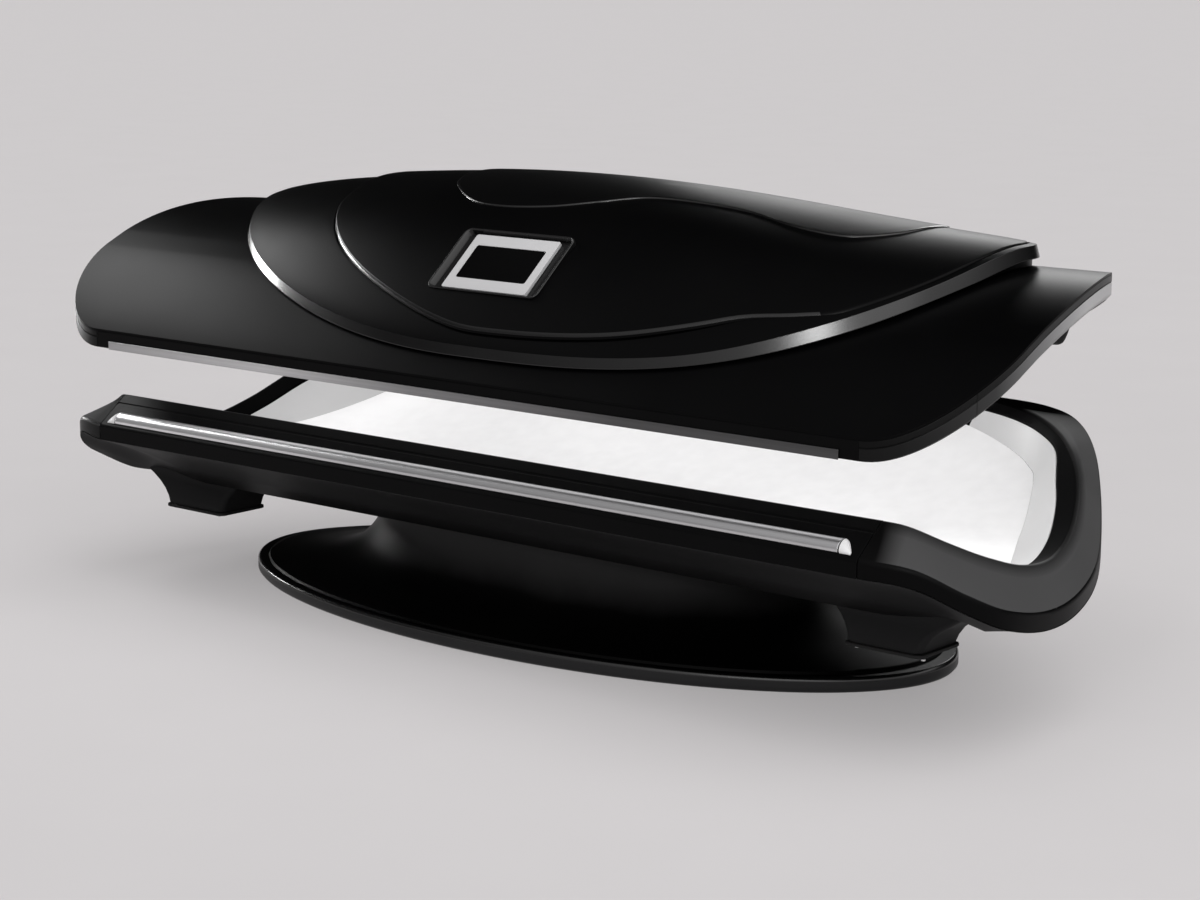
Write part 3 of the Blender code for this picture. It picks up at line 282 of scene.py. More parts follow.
# Numbers of samples for the smooth forms
CORNER_STEPS = 28
SWEEP_STEPS = 96
SPOKES = 240
PANEL_STEPS = 160
OVAL_SIDES = 200
COLUMNS = 24


# Curves and surfaces
def through(points, steps):
    pts = [Vector(p) for p in points]
    spans = len(pts) - 1
    out = []
    for k in range(steps + 1):
        u = min(k / steps * spans, spans - 1e-9)
        i = int(u)
        t = u - i
        a = pts[max(i - 1, 0)]
        b = pts[i]
        c = pts[i + 1]
        d = pts[min(i + 2, spans)]
        t2 = t * t
        t3 = t2 * t
        out.append(b * (2 * t3 - 3 * t2 + 1) + (c - a) * (0.5 * (t3 - 2 * t2 + t))
                   + c * (3 * t2 - 2 * t3) + (d - b) * (0.5 * (t3 - t2)))
    return out


def lookup(table, x):
    last = len(table) - 1
    x = max(table[0][0], min(x, table[last][0]))
    i = 0
    while i < last - 1 and x > table[i + 1][0]:
        i += 1
    slopes = []
    for k in (i, i + 1):
        before = table[max(k - 1, 0)]
        after = table[min(k + 1, last)]
        slopes.append((after[1] - before[1]) / (after[0] - before[0]))
    width = table[i + 1][0] - table[i][0]
    t = (x - table[i][0]) / width
    rise = table[i + 1][1] - table[i][1]
    bend = t * (1 - t) * (width * (slopes[0] * (1 - t) - slopes[1] * t) + rise * (2 * t - 1))
    return table[i][1] + rise * t + bend


def plan(inset=0.0):
    pts = []
    for k in range(CORNER_STEPS + 1):
        ang = math.radians(-90 + 90 * k / CORNER_STEPS)
        r = CORNER_R - inset
        pts.append((FRONT_HALF + r * math.cos(ang), FRONT_Y + CORNER_R + r * math.sin(ang)))
    a = HALF_LENGTH - BACK_FLAT
    b = BACK_Y - SWEEP_Y
    for k in range(SWEEP_STEPS + 1):
        ang = math.radians(90 * k / SWEEP_STEPS)
        nx = math.cos(ang) / a
        ny = math.sin(ang) / b
        n = math.hypot(nx, ny)
        pts.append((BACK_FLAT + a * math.cos(ang) - inset * nx / n,
                    SWEEP_Y + b * math.sin(ang) - inset * ny / n))
    return pts


def plan_x(inset, y):
    pts = plan(inset)[CORNER_STEPS + 1:]
    for a, b in zip(pts, pts[1:]):
        if a[1] <= y <= b[1]:
            return a[0] + (b[0] - a[0]) * (y - a[1]) / (b[1] - a[1])
    return pts[-1][0]


def seat_z(y):
    r = SEAT_FRONT_R if y < SEAT_LOW_Y else SEAT_BACK_R
    return SEAT_LOW_Z + (y - SEAT_LOW_Y) ** 2 / (2 * r)


def skin_z(y):
    return CANOPY_CZ + math.sqrt(CANOPY_R ** 2 - y * y)


def eased(t):
    t = max(0.0, min(1.0, t))
    return t * t * (3 - 2 * t)


def cowl_side(dx, dy):
    if dx < 0:
        return COWL_LEFT, COWL_LEFT_N
    return COWL_RIGHT, COWL_RIGHT_N if dy < 0 else COWL_TAIL_N


def fuller(u, y):
    """How much higher the edge stands at the two tips than along the front."""
    rise = 0.0
    for sign, height, start, run, front, depth in EDGE_TIPS:
        rise += height * eased((sign * u - start) / run) * eased((y - front) / depth)
    return rise


def cowl_point(rho, ang):
    c = math.cos(ang)
    s = math.sin(ang)
    half, power = cowl_side(c, s)
    n = (abs(c) ** power + abs(s) ** power) ** (1 / power)
    depth = COWL_FRONT if s < 0 else COWL_BACK
    return COWL_X + half * rho * c / n, depth * rho * s / n


def cowl_z(x, y):
    depth = COWL_FRONT if y < 0 else COWL_BACK
    half, power = cowl_side(x - COWL_X, y)
    u = (x - COWL_X) / half
    rho = min((abs(u) ** power + abs(y / depth) ** power) ** (1 / power), 1.0)
    crown = COWL_CROWN * (1 + COWL_LEAN * u + COWL_SAG * u * u)
    return skin_z(y) + COWL_LIP + fuller(u, y) * rho ** 3 + crown * (1 - rho * rho) ** COWL_POWER


def step_rho(ang):
    deg = -abs(math.degrees(math.atan2(math.sin(ang), math.cos(ang))))
    return lookup(STEP_LINE, deg)


def wall_point(inner):
    front = max(0.0, min(1.0, (inner.y - RAIL_TOP_Y) / WALL_BLEND))
    back = max(0.0, min(1.0, (REAR_TOP_Y - inner.y) / WALL_BLEND))
    move_x = RIM_WALL_IN * front * back * (1 - WALL_BACK * eased((inner.y - WALL_BACK_Y) / WALL_BACK_RUN))
    move_y = (RAIL_SEAT_Y - RAIL_TOP_Y) * (1 - front) + (REAR_SEAT_Y - REAR_TOP_Y) * (1 - back)
    drop = (RAIL_TOP_Z - RAIL_SEAT_Z) * (1 - front) + RIM_WALL_DROP * front * back
    drop += (REAR_TOP_Z - REAR_SEAT_Z) * (1 - back)
    return Vector((inner.x - move_x, inner.y + move_y, inner.z - drop))


def seat_end(foot):
    return min(foot.x - FILLER_W, lookup(SEAT_END, foot.y))


def left_rise(x, y):
    """How much higher the left front corner of the bench stands."""
    outwards = eased((abs(x) - FRONT_HALF) / LEFT_RISE_RUN)
    return LEFT_RISE * outwards * eased((LEFT_RISE_Y - y) / LEFT_RISE_DEPTH)


def flipped(points):
    return [(-p[0], p[1], p[2]) for p in points]


def rounded_box(half_x, half_y, r, steps):
    """Points round a rectangle with rounded corners."""
    points = []
    for cx, cy, start in ((1, 1, 0), (-1, 1, 90), (-1, -1, 180), (1, -1, 270)):
        for k in range(steps + 1):
            ang = math.radians(start + 90 * k / steps)
            points.append((cx * (half_x - r) + r * math.cos(ang), cy * (half_y - r) + r * math.sin(ang)))
    return points


# Materials
BAR_GRAIN = (0.8, 260.0, 260.0)
# Strength of the acrylic's glow along the bed: painted light, strongest near the left end and weakest at the
# right end
ACRYLIC_PAINTED_LIGHT = ((-1.05, 0.90), (-0.80, 1.15), (-0.45, 1.00), (0.10, 0.95), (0.60, 0.88), (1.05, 0.62))
# Slant of the line past which the rim's painted grey sheen begins
RIM_SLANT = 0.33
RIM_DULL = (0.20, 0.34)
FLOOR_GLOW = 0.45


def blank(name):
    mat = bpy.data.materials.new(name)
    mat.use_nodes = True
    tree = mat.node_tree
    return mat, tree.nodes, tree.links, tree.nodes["Principled BSDF"]


def noise(nodes, links, scale, detail=3.0, stretch=None):
    coord = nodes.new("ShaderNodeTexCoord")
    tex = nodes.new("ShaderNodeTexNoise")
    tex.inputs["Scale"].default_value = scale
    tex.inputs["Detail"].default_value = detail
    if stretch:
        mapping = nodes.new("ShaderNodeMapping")
        mapping.inputs["Scale"].default_value = stretch
        links.new(coord.outputs["Object"], mapping.inputs["Vector"])
        links.new(mapping.outputs["Vector"], tex.inputs["Vector"])
    else:
        links.new(coord.outputs["Object"], tex.inputs["Vector"])
    return tex.outputs["Fac"]


def ramp(nodes, links, source, low, high, a=0.3, b=0.7):
    node = nodes.new("ShaderNodeValToRGB")
    node.color_ramp.elements[0].position = a
    node.color_ramp.elements[0].color = (*low, 1.0)
    node.color_ramp.elements[1].position = b
    node.color_ramp.elements[1].color = (*high, 1.0)
    links.new(source, node.inputs["Fac"])
    return node.outputs["Color"]


def span(nodes, links, source, low, high, a=0.3, b=0.7):
    node = nodes.new("ShaderNodeMapRange")
    node.inputs["From Min"].default_value = a
    node.inputs["From Max"].default_value = b
    node.inputs["To Min"].default_value = low
    node.inputs["To Max"].default_value = high
    links.new(source, node.inputs["Value"])
    return node.outputs["Result"]


def bump(nodes, links, source, strength, depth):
    node = nodes.new("ShaderNodeBump")
    node.inputs["Strength"].default_value = strength
    node.inputs["Distance"].default_value = depth
    links.new(source, node.inputs["Height"])
    return node.outputs["Normal"]


def calc(nodes, links, operation, *values):
    """A maths node fed by numbers or by the outputs of other nodes."""
    node = nodes.new("ShaderNodeMath")
    node.operation = operation
    for socket, value in zip(node.inputs, values):
        if isinstance(value, float):
            socket.default_value = value
        else:
            links.new(value, socket)
    return node.outputs["Value"]


def place(nodes, links):
    """The x, y and z of a point on the piece."""
    coord = nodes.new("ShaderNodeTexCoord")
    split = nodes.new("ShaderNodeSeparateXYZ")
    links.new(coord.outputs["Object"], split.inputs["Vector"])
    return split.outputs


def tone_ramp(nodes, links, source, stops, colour):
    """Colours that follow one another from the first stop of (place, tone) to the last."""
    first, last = stops[0][0], stops[-1][0]
    node = nodes.new("ShaderNodeValToRGB")
    while len(node.color_ramp.elements) < len(stops):
        node.color_ramp.elements.new(0.5)
    for element, (at, tone) in zip(node.color_ramp.elements, stops):
        element.position = (at - first) / (last - first)
        element.color = colour(tone)
    links.new(span(nodes, links, source, 0.0, 1.0, first, last), node.inputs["Fac"])
    return node.outputs["Color"]


def along(nodes, links, stops):
    """A tone that changes along the length of the bed, from stops of (x, tone) up to a tone of 2; here it
    carries painted light and painted reflection.
    """
    source = place(nodes, links)["X"]
    tones = tone_ramp(nodes, links, source, stops, lambda tone: (tone / 2, tone / 2, tone / 2, 1.0))
    return span(nodes, links, tones, 0.0, 2.0, 0.0, 1.0)


def grained(nodes, links, shader, broad, rough, spread, grain=900.0, depth=0.00012):
    """Uneven roughness and a fine grain."""
    links.new(span(nodes, links, broad, rough - spread, rough + spread), shader.inputs["Roughness"])
    fine = noise(nodes, links, grain, 2.0)
    links.new(bump(nodes, links, fine, 0.25, depth), shader.inputs["Normal"])


def moulded(name, dark, light, rough, spread, specular, *grain):
    mat, nodes, links, shader = blank(name)
    broad = noise(nodes, links, 4.0, 4.0)
    links.new(ramp(nodes, links, broad, dark, light), shader.inputs["Base Color"])
    grained(nodes, links, shader, broad, rough, spread, *grain)
    shader.inputs["Specular IOR Level"].default_value = specular
    return mat


def drawn_metal(name, dark, light, rough, spread, grain=BAR_GRAIN, stops=None):
    mat, nodes, links, shader = blank(name)
    lines = noise(nodes, links, 1.0, 3.0, grain)
    colour = ramp(nodes, links, lines, dark, light)
    # The stops paint reflections: stretches of the bar are made lighter or darker along its length
    if stops:
        scale = nodes.new("ShaderNodeVectorMath")
        scale.operation = "SCALE"
        links.new(colour, scale.inputs[0])
        links.new(along(nodes, links, stops), scale.inputs["Scale"])
        colour = scale.outputs["Vector"]
    links.new(colour, shader.inputs["Base Color"])
    links.new(span(nodes, links, lines, rough - spread, rough + spread), shader.inputs["Roughness"])
    links.new(bump(nodes, links, lines, 0.015, 0.0001), shader.inputs["Normal"])
    shader.inputs["Metallic"].default_value = 1.0
    return mat


def lit_acrylic(name, glow):
    mat, nodes, links, shader = blank(name)
    fine = noise(nodes, links, 30.0, 3.0)
    links.new(ramp(nodes, links, fine, grey(0.57), grey(0.61)), shader.inputs["Base Color"])
    links.new(span(nodes, links, fine, 0.20, 0.26), shader.inputs["Roughness"])
    # The glow stands for the backlight; its rise and fall along the bed is painted light
    level = calc(nodes, links, "MULTIPLY", along(nodes, links, ACRYLIC_PAINTED_LIGHT), glow)
    links.new(level, shader.inputs["Emission Strength"])
    shader.inputs["Emission Color"].default_value = (1.0, 0.99, 0.995, 1.0)
    return mat


def painted_sheen_rim(name, near, far, start, end, rough, shine):
    """Black at the front rail and a painted grey sheen past a slanting line round the corner."""
    mat, nodes, links, shader = blank(name)
    at = place(nodes, links)
    slant = calc(nodes, links, "MULTIPLY_ADD", at["Y"], RIM_SLANT, calc(nodes, links, "ABSOLUTE", at["X"]))
    broad = noise(nodes, links, 5.0, 3.0)
    total = calc(nodes, links, "ADD", slant, span(nodes, links, broad, -0.003, 0.003))
    # The tone attribute holds each point's share of the painted sheen
    tone = nodes.new("ShaderNodeAttribute")
    tone.attribute_name = "tone"
    past = span(nodes, links, total, 0.0, 1.0, start, end)
    part = calc(nodes, links, "MULTIPLY", past, tone.outputs["Fac"])
    links.new(ramp(nodes, links, part, near, far, 0.0, 1.0), shader.inputs["Base Color"])
    links.new(span(nodes, links, at["Y"], shine, 0.0, *RIM_DULL), shader.inputs["Specular IOR Level"])
    grained(nodes, links, shader, broad, rough, 0.03)
    return mat


def painted_light_ramp(name, stops, rough, specular, axis="Y"):
    """Painted light as one tone after another along an axis: from front to back, or from the floor up."""
    mat, nodes, links, shader = blank(name)
    broad = noise(nodes, links, 5.0, 3.0)
    total = calc(nodes, links, "ADD", place(nodes, links)[axis], span(nodes, links, broad, -0.01, 0.01))
    tones = tone_ramp(nodes, links, total, stops, lambda tone: (tone, tone, tone * 1.01, 1.0))
    links.new(tones, shader.inputs["Base Color"])
    grained(nodes, links, shader, broad, rough, 0.03)
    shader.inputs["Specular IOR Level"].default_value = specular
    return mat


def grey(tone, blue=None):
    return tone, tone, tone if blue is None else blue


LOOKS = (
    ("satin_black", moulded, grey(0.0004, 0.0005), grey(0.0007, 0.0008), 0.34, 0.02, 0.05),
    ("gloss_black", moulded, grey(0.0008, 0.0009), grey(0.0013, 0.0014), 0.38, 0.02, 0.055),
    ("graphite", moulded, grey(0.026, 0.0265), grey(0.031, 0.0315), 0.42, 0.03, 0.35),
    # Painted sheen: the end rim is black at the front rail and painted grey past a slanting line
    ("rim", painted_sheen_rim, grey(0.0010), grey(0.054, 0.0545), 0.818, 0.858, 0.42, 0.06),
    ("liner", moulded, grey(0.0007, 0.0008), grey(0.0011, 0.0012), 0.52, 0.03, 0.02),
    # Painted reflection on the canopy's end trims: near black at the front and lighter towards the back, most
    # on the faces below the groove
    ("end_upper", painted_light_ramp, ((-0.50, 0.0012), (-0.38, 0.010), (-0.20, 0.030), (0.05, 0.045)), 0.42, 0.10),
    ("end_lower", painted_light_ramp, ((-0.50, 0.004), (-0.40, 0.03), (-0.28, 0.15), (-0.10, 0.40)), 0.45, 0.10),
    ("frame", moulded, grey(0.0010, 0.0011), grey(0.0015, 0.0016), 0.26, 0.02, 0.40),
    ("lip", moulded, grey(0.0009, 0.0010), grey(0.0014, 0.0015), 0.24, 0.02, 0.50),
    ("hull", moulded, grey(0.011, 0.0113), grey(0.014, 0.0143), 0.50, 0.03, 0.03),
    # Painted sheen on the pedestal skirt: near black at the floor, lighter towards the top
    ("skirt", painted_light_ramp, ((0.03, 0.0006), (0.09, 0.0010), (0.14, 0.018), (0.21, 0.032)), 0.42, 0.04, "Z"),
    ("plinth", moulded, grey(0.014, 0.0145), grey(0.018, 0.0185), 0.40, 0.03, 0.15),
    ("coated_steel", moulded, grey(0.020, 0.021), grey(0.030, 0.032), 0.5, 0.05, 0.4, 500.0),
    # Painted reflections on both trim strips: lighter towards the left, darker towards the right
    ("brushed_aluminium", drawn_metal, grey(0.56, 0.57), grey(0.66, 0.67), 0.30, 0.012, BAR_GRAIN,
     ((-1.0, 1.45), (-0.55, 1.35), (-0.20, 1.0), (0.3, 0.95), (1.0, 0.95))),
    ("silver_trim", drawn_metal, grey(0.34, 0.345), grey(0.42, 0.425), 0.36, 0.04, BAR_GRAIN,
     ((-1.0, 1.10), (-0.45, 1.75), (-0.05, 0.80), (0.45, 0.30), (1.0, 0.24))),
    ("pale_plug", moulded, grey(0.60), grey(0.68), 0.4, 0.05, 0.5),
    ("opal_acrylic", lit_acrylic, 0.44),
    ("white_filler", moulded, grey(0.66), grey(0.72), 0.35, 0.04, 0.4),
    ("sheet_metal", drawn_metal, (0.55, 0.56, 0.57), (0.66, 0.67, 0.68), 0.38, 0.08),
    ("led_board", moulded, grey(0.74, 0.72), grey(0.82, 0.80), 0.5, 0.05, 0.4, 200.0),
    ("supply_case", drawn_metal, (0.48, 0.49, 0.50), (0.58, 0.59, 0.60), 0.42, 0.06),
    ("rubber", moulded, grey(0.006), grey(0.011), 0.75, 0.06, 0.2, 700.0, 0.0004),
    ("zinc_screw", drawn_metal, grey(0.50), grey(0.66), 0.34, 0.06, (90.0, 90.0, 90.0)),
    ("screen_glass", moulded, grey(0.0010, 0.0011), grey(0.0016, 0.0017), 0.12, 0.02, 0.05, 300.0, 0.00002),
    ("screen_bezel", moulded, grey(0.42, 0.425), grey(0.47, 0.475), 0.4, 0.03, 0.4, 1200.0),
    ("fan_plastic", moulded, grey(0.012, 0.013), grey(0.020, 0.022), 0.5, 0.05, 0.3),
)
MATS = {name: make(name + "_look", *values) for name, make, *values in LOOKS}


# Pieces
def applied(obj):
    """Turns the piece's modifiers into its mesh."""
    bpy.context.view_layer.update()
    done = bpy.data.meshes.new_from_object(obj.evaluated_get(bpy.context.evaluated_depsgraph_get()))
    obj.modifiers.clear()
    old = obj.data
    obj.data = done
    bpy.data.meshes.remove(old)


def finish_piece(obj, nodes, slot, bevel=0.0, segments=3, angle=30.0, sharp=48.0):
    """Rounds the edges, sets the shading and puts the piece on the body of its CAD nodes."""
    if bevel:
        mod = obj.modifiers.new("round", "BEVEL")
        mod.width = bevel
        mod.segments = segments
        mod.limit_method = "ANGLE"
        mod.angle_limit = math.radians(angle)
        applied(obj)
    mesh = obj.data
    mesh.polygons.foreach_set("use_smooth", [True] * len(mesh.polygons))
    mesh.set_sharp_from_angle(angle=math.radians(sharp))
    weigh = obj.modifiers.new("weighted_normals", "WEIGHTED_NORMAL")
    weigh.keep_sharp = True
    weigh.weight = 60
    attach(obj, frame["nodes"][nodes[0]]["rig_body"])
    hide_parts(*nodes)


def new_object(name, verts, faces, mats, which=None, tones=None):
    mesh = bpy.data.meshes.new(name)
    mesh.from_pydata([tuple(v) for v in verts], [], faces)
    if tones:
        mesh.attributes.new("tone", "FLOAT", "POINT").data.foreach_set("value", tones)
    if which:
        mesh.polygons.foreach_set("material_index", which)
    bm = bmesh.new()
    bm.from_mesh(mesh)
    bmesh.ops.remove_doubles(bm, verts=bm.verts, dist=1e-6)
    bmesh.ops.recalc_face_normals(bm, faces=bm.faces)
    bm.to_mesh(mesh)
    bm.free()
    for mat in mats:
        mesh.materials.append(mat)
    obj = bpy.data.objects.new(name, mesh)
    bpy.context.collection.objects.link(obj)
    return obj


def dress(node, slot, verts, faces, looks=None, which=None, tones=None, **how):
    """A form in place of one CAD node, in its slot's look or in the looks named, which tells one per face."""
    obj = new_object(node + "_form", verts, faces, [MATS[look] for look in looks or (slot,)], which, tones)
    finish_piece(obj, [node], slot, **how)


def swept(sections, closed=False):
    """Closed outlines joined one to the next; the row is capped, or closed into a loop."""
    m = len(sections[0])
    count = len(sections)
    verts = [p for sec in sections for p in sec]
    faces = []
    for i in range(count if closed else count - 1):
        j = (i + 1) % count
        for k in range(m):
            n = (k + 1) % m
            faces.append((i * m + k, i * m + n, j * m + n, j * m + k))
    if not closed:
        faces.append(tuple(range(m)))
        faces.append(tuple((count - 1) * m + k for k in range(m)))
    return verts, faces


def straight(section, half):
    """A section run along the length, from one end seam to the other."""
    return swept([[(x, p[1], p[2]) for p in section] for x in (-half + SEAM, half - SEAM)])


def sheet(rows, thick):
    """Closed sheet ruled along the length; a row is (half length, y, top z)."""
    n = COLUMNS + 1
    verts = []
    for half, y, z in rows:
        for side in (0.0, -thick):
            verts += [(half * (2 * c / COLUMNS - 1), y, z + side) for c in range(n)]
    faces = []
    for i in range(len(rows) - 1):
        a = 2 * n * i
        b = a + 2 * n
        for c in range(COLUMNS):
            faces.append((a + c, a + c + 1, b + c + 1, b + c))
            faces.append((a + n + c, b + n + c, b + n + c + 1, a + n + c + 1))
        for c in (0, COLUMNS):
            faces.append((a + c, b + c, b + n + c, a + n + c))
    for a in (0, 2 * n * (len(rows) - 1)):
        for c in range(COLUMNS):
            faces.append((a + c, a + n + c, a + n + c + 1, a + c + 1))
    return verts, faces


def turned(profile, sides=48):
    turns = [2 * math.pi * k / sides for k in range(sides)]
    rings = [(max(r, 1e-5), z) for r, z in profile]
    return swept([[Vector((r * math.cos(a), r * math.sin(a), z)) for a in turns] for r, z in rings])


def copied(node, slot, spread=None, **how):
    """The CAD node's own mesh, cleaned and with rounded edges; spread moves its two ends in x."""
    bm = bmesh.new()
    bm.from_mesh(frame["nodes"][node].data)
    bmesh.ops.remove_doubles(bm, verts=bm.verts, dist=2e-5)
    bmesh.ops.dissolve_limit(bm, angle_limit=math.radians(0.6), verts=bm.verts, edges=bm.edges)
    bmesh.ops.recalc_face_normals(bm, faces=bm.faces)
    if spread:
        low = min(v.co.x for v in bm.verts)
        high = max(v.co.x for v in bm.verts)
        for v in bm.verts:
            t = (v.co.x - low) / (high - low)
            v.co.x += spread[0] * (1 - t) + spread[1] * t
    mesh = bpy.data.meshes.new(node + "_form")
    bm.to_mesh(mesh)
    bm.free()
    if "custom_normal" in mesh.attributes:
        mesh.attributes.remove(mesh.attributes["custom_normal"])
    mesh.materials.append(MATS[slot])
    obj = bpy.data.objects.new(node + "_form", mesh)
    bpy.context.collection.objects.link(obj)
    finish_piece(obj, [node], slot, **how)


# Pedestal
def oval(a, b, z):
    out = []
    for k in range(OVAL_SIDES):
        ang = 2 * math.pi * k / OVAL_SIDES
        out.append((BASE_X + a * math.cos(ang), BASE_Y + b * math.sin(ang), z))
    return out


def pedestal():
    r = BASE_ROUND
    prof = [(-0.012, 0.0), (-0.004, 0.0015), (0.0, 0.006), (0.0, BASE_H * 0.4)]
    for k in range(7):
        ang = math.radians(15 * k)
        prof.append((-r + r * math.cos(ang), BASE_H - r + r * math.sin(ang)))
    prof.append((-0.060, BASE_H))
    rings = [oval(BASE_A + d, BASE_B + d, z) for d, z in prof]
    verts, faces = swept(rings)
    kinds = [1 if i < PLINTH_RINGS else 2 if i < LIP_RINGS else 0 for i in range(len(rings) - 1)]
    which = [kinds[k // OVAL_SIDES] for k in range(len(faces) - 2)] + [0, 0]
    dress("pedestal_floor_plate", "satin_black", verts, faces, ("satin_black", "plinth", "lip"), which)
    z0 = BASE_H + GAP
    z1 = HULL_BOTTOM_Z - GAP
    outer = [(f, z0 + z) for f, z in SKIRT_LINE] + [(SKIRT_TOP, z1)]
    curve = [(p.x, p.y) for p in through([(f, z, 0.0) for f, z in outer[1:]], 48)]
    full = [outer[0]] + curve
    inner = [(f - SKIRT_FOLD, z) for f, z in reversed(full) if f - SKIRT_FOLD < SKIRT_FOOT]
    inner = [(f, z if z >= z1 - 1e-6 else max(z - SKIRT_T, z0)) for f, z in inner]
    loop = full + inner
    sections = []
    for k in range(OVAL_SIDES):
        ang = 2 * math.pi * k / OVAL_SIDES
        c = math.cos(ang)
        s = math.sin(ang)
        sections.append([(BASE_X + BASE_A * f * c, BASE_Y + BASE_B * f * s, z) for f, z in loop])
    dress("pedestal_skirt", "satin_black", *swept(sections, closed=True), looks=("skirt",))


# Bench
def rim_section(o, i, groove=0.0):
    """Closed section from the outer edge over the flange and down the inner wall."""
    inward = Vector((i.x - o.x, i.y - o.y, 0.0)).normalized()
    wall = wall_point(i)
    up = Vector((0.0, 0.0, 1.0))
    first = o + inward * RIM_ROUND
    near = o.lerp(i, RIM_NEAR)
    normal = (near - first).cross(up.cross(inward)).normalized()
    if normal.z < 0:
        normal = -normal
    face = [first.lerp(near, t) - normal * groove * down for t, down in GROOVE_LINE]
    over = i.lerp(wall, RIM_OVER) - up * (RIM_ROUND / 2)
    foot = [near, over, wall, wall - up * RIM_BASE_T]
    return [o - up * RIM_SKIRT, o - up * (RIM_ROUND * 2), first] + face + foot


def end_curves():
    """The two edges of the end rim; each leaves the front rail in the rail's own direction."""
    steps = END_STEPS // (len(OUTER_EDGE) - 1)
    curves = []
    for edge in (OUTER_EDGE, INNER_EDGE):
        lead = (edge[0][0] - END_LEAD, edge[0][1], edge[0][2])
        curves.append(through((lead,) + edge, steps * len(edge))[steps:])
    return curves


def bench_rims():
    outer, inner = end_curves()
    plain = [rim_section(o, i) for o, i in zip(outer, inner)]
    raised = [[(-p.x, p.y, p.z + lift * left_rise(p.x, p.y)) for p, lift in zip(section, RIM_LIFT)]
              for section in plain]
    for side, sections in (("right", plain), ("left", raised)):
        verts, faces = swept(sections)
        which = [RIM_KINDS[k % len(RIM_KINDS)] for k in range(len(faces) - 2)] + [1, 1]
        # Each point's share of the painted sheen, faded out towards the back
        fades = [1 - eased((s[0][1] - RIM_FADE_Y) / RIM_FADE_RUN) for s in sections]
        tones = [tone * fade for fade in fades for tone in RIM_SHEEN]
        dress("bench_end_rim_" + side, "graphite", verts, faces, ("rim", "gloss_black", "liner"), which,
              tones, bevel=0.0030, segments=4, angle=22.0)
    rails = (("front_rail", 0, FRONT_HALF, RAIL_GROOVE), ("rear_rail", -1, BACK_FLAT, 0.0))
    for node, at, half, groove in rails:
        section = rim_section(outer[at], inner[at], groove)
        dress(node, "gloss_black", *straight(section, half), bevel=0.0016, segments=3, angle=25.0)


def bench_surface():
    feet = [wall_point(i) for i in end_curves()[1]]
    rows = []
    for p in feet:
        if RAIL_SEAT_Y < p.y < REAR_SEAT_Y:
            rows.append((seat_end(p), p.y, seat_z(p.y)))
    dress("bench_acrylic", "opal_acrylic", *sheet(rows, ACRYLIC_T))
    skip = FILLER_SKIP * END_STEPS // 30
    for side, sign in (("right", 1), ("left", -1)):
        sections = []
        for p in feet[skip:-skip]:
            top = Vector((p.x - GAP, p.y, p.z - RIM_ROUND))
            low = Vector((seat_end(p) + GAP, p.y, seat_z(p.y)))
            run = (low - top).normalized()
            edge = Vector((-run.z, 0.0, run.x)) * FILLER_T
            top.x -= max(edge.x, 0.0)
            low.x += max(-edge.x, 0.0)
            sections.append([(sign * q.x, q.y, q.z) for q in (top, low, low + edge, top + edge)])
        dress("bench_end_filler_" + side, "white_filler", *swept(sections), bevel=0.0006, segments=2)


def bench_hull():
    outer, _ = end_curves()
    right = []
    for o in outer:
        top = Vector((o.x, o.y, o.z - RIM_SKIRT - GAP))
        flat = Vector((HULL_FLAT_X * o.x, HULL_FLAT_Y * o.y, HULL_BOTTOM_Z))
        knee = top.lerp(flat, 0.5)
        knee.z = max(HULL_BOTTOM_Z + HULL_KNEE_MIN, min(o.z - HULL_KNEE, seat_z(knee.y) - HULL_UNDER_SEAT))
        inward = Vector((flat.x - top.x, flat.y - top.y, 0.0)).normalized() * HULL_T
        lift = Vector((0, 0, HULL_T))
        start = top.lerp(knee, HULL_BEND)
        stop = knee.lerp(flat, HULL_BEND)
        skin = [top]
        for k in range(9):
            t = k / 8
            skin.append(start.lerp(knee, t).lerp(knee.lerp(stop, t), t))
        skin.append(flat)
        right.append(skin + [flat + inward + lift, knee + inward + lift, top + inward])
    flat_at = len(skin) - 1
    left = []
    for s in reversed(right):
        rise = left_rise(s[0].x, s[0].y)
        still = HULL_BOTTOM_Z + HULL_STILL
        part = [max(0.0, (p.z - still) / (s[0].z - still)) for p in s]
        left.append([(-p.x, p.y, p.z + rise * min(1.0, t)) for p, t in zip(s, part)])
    loop = right + left
    n = len(loop)
    m = len(loop[0])
    verts = [p for station in loop for p in station]
    faces = []
    for i in range(n):
        j = (i + 1) % n
        for k in range(m):
            if k != flat_at:
                q = (k + 1) % m
                faces.append((i * m + k, i * m + q, j * m + q, j * m + k))
    faces.append(tuple(i * m + flat_at for i in range(n)))
    faces.append(tuple(i * m + flat_at + 1 for i in range(n)))
    dress("bench_hull", "satin_black", verts, faces, ("hull",), sharp=40.0)


def stub_feet():
    foot_x = HALF_LENGTH - FOOT_END_IN
    for side, sign in (("left", -1), ("right", 1)):
        rings = []
        low_in, top_in, low_out, top_out = FOOT_GROWTH[side]
        for z, inner, outer, front, rear in FOOT_RINGS:
            up = eased((z - FOOT_FLARE_Z) / FOOT_FLARE_RUN)
            inner += low_in + top_in * up
            outer += low_out + top_out * up
            mid_x = (outer - inner) / 2
            mid_y = (rear - front) / 2
            ring = rounded_box((outer + inner) / 2, (rear + front) / 2, FOOT_ROUND, 6)
            rings.append([(sign * (foot_x + (x + mid_x)), FOOT_Y + (y + mid_y), z) for x, y in ring])
        dress("stub_foot_" + side, "satin_black", *swept(rings), looks=("hull",))


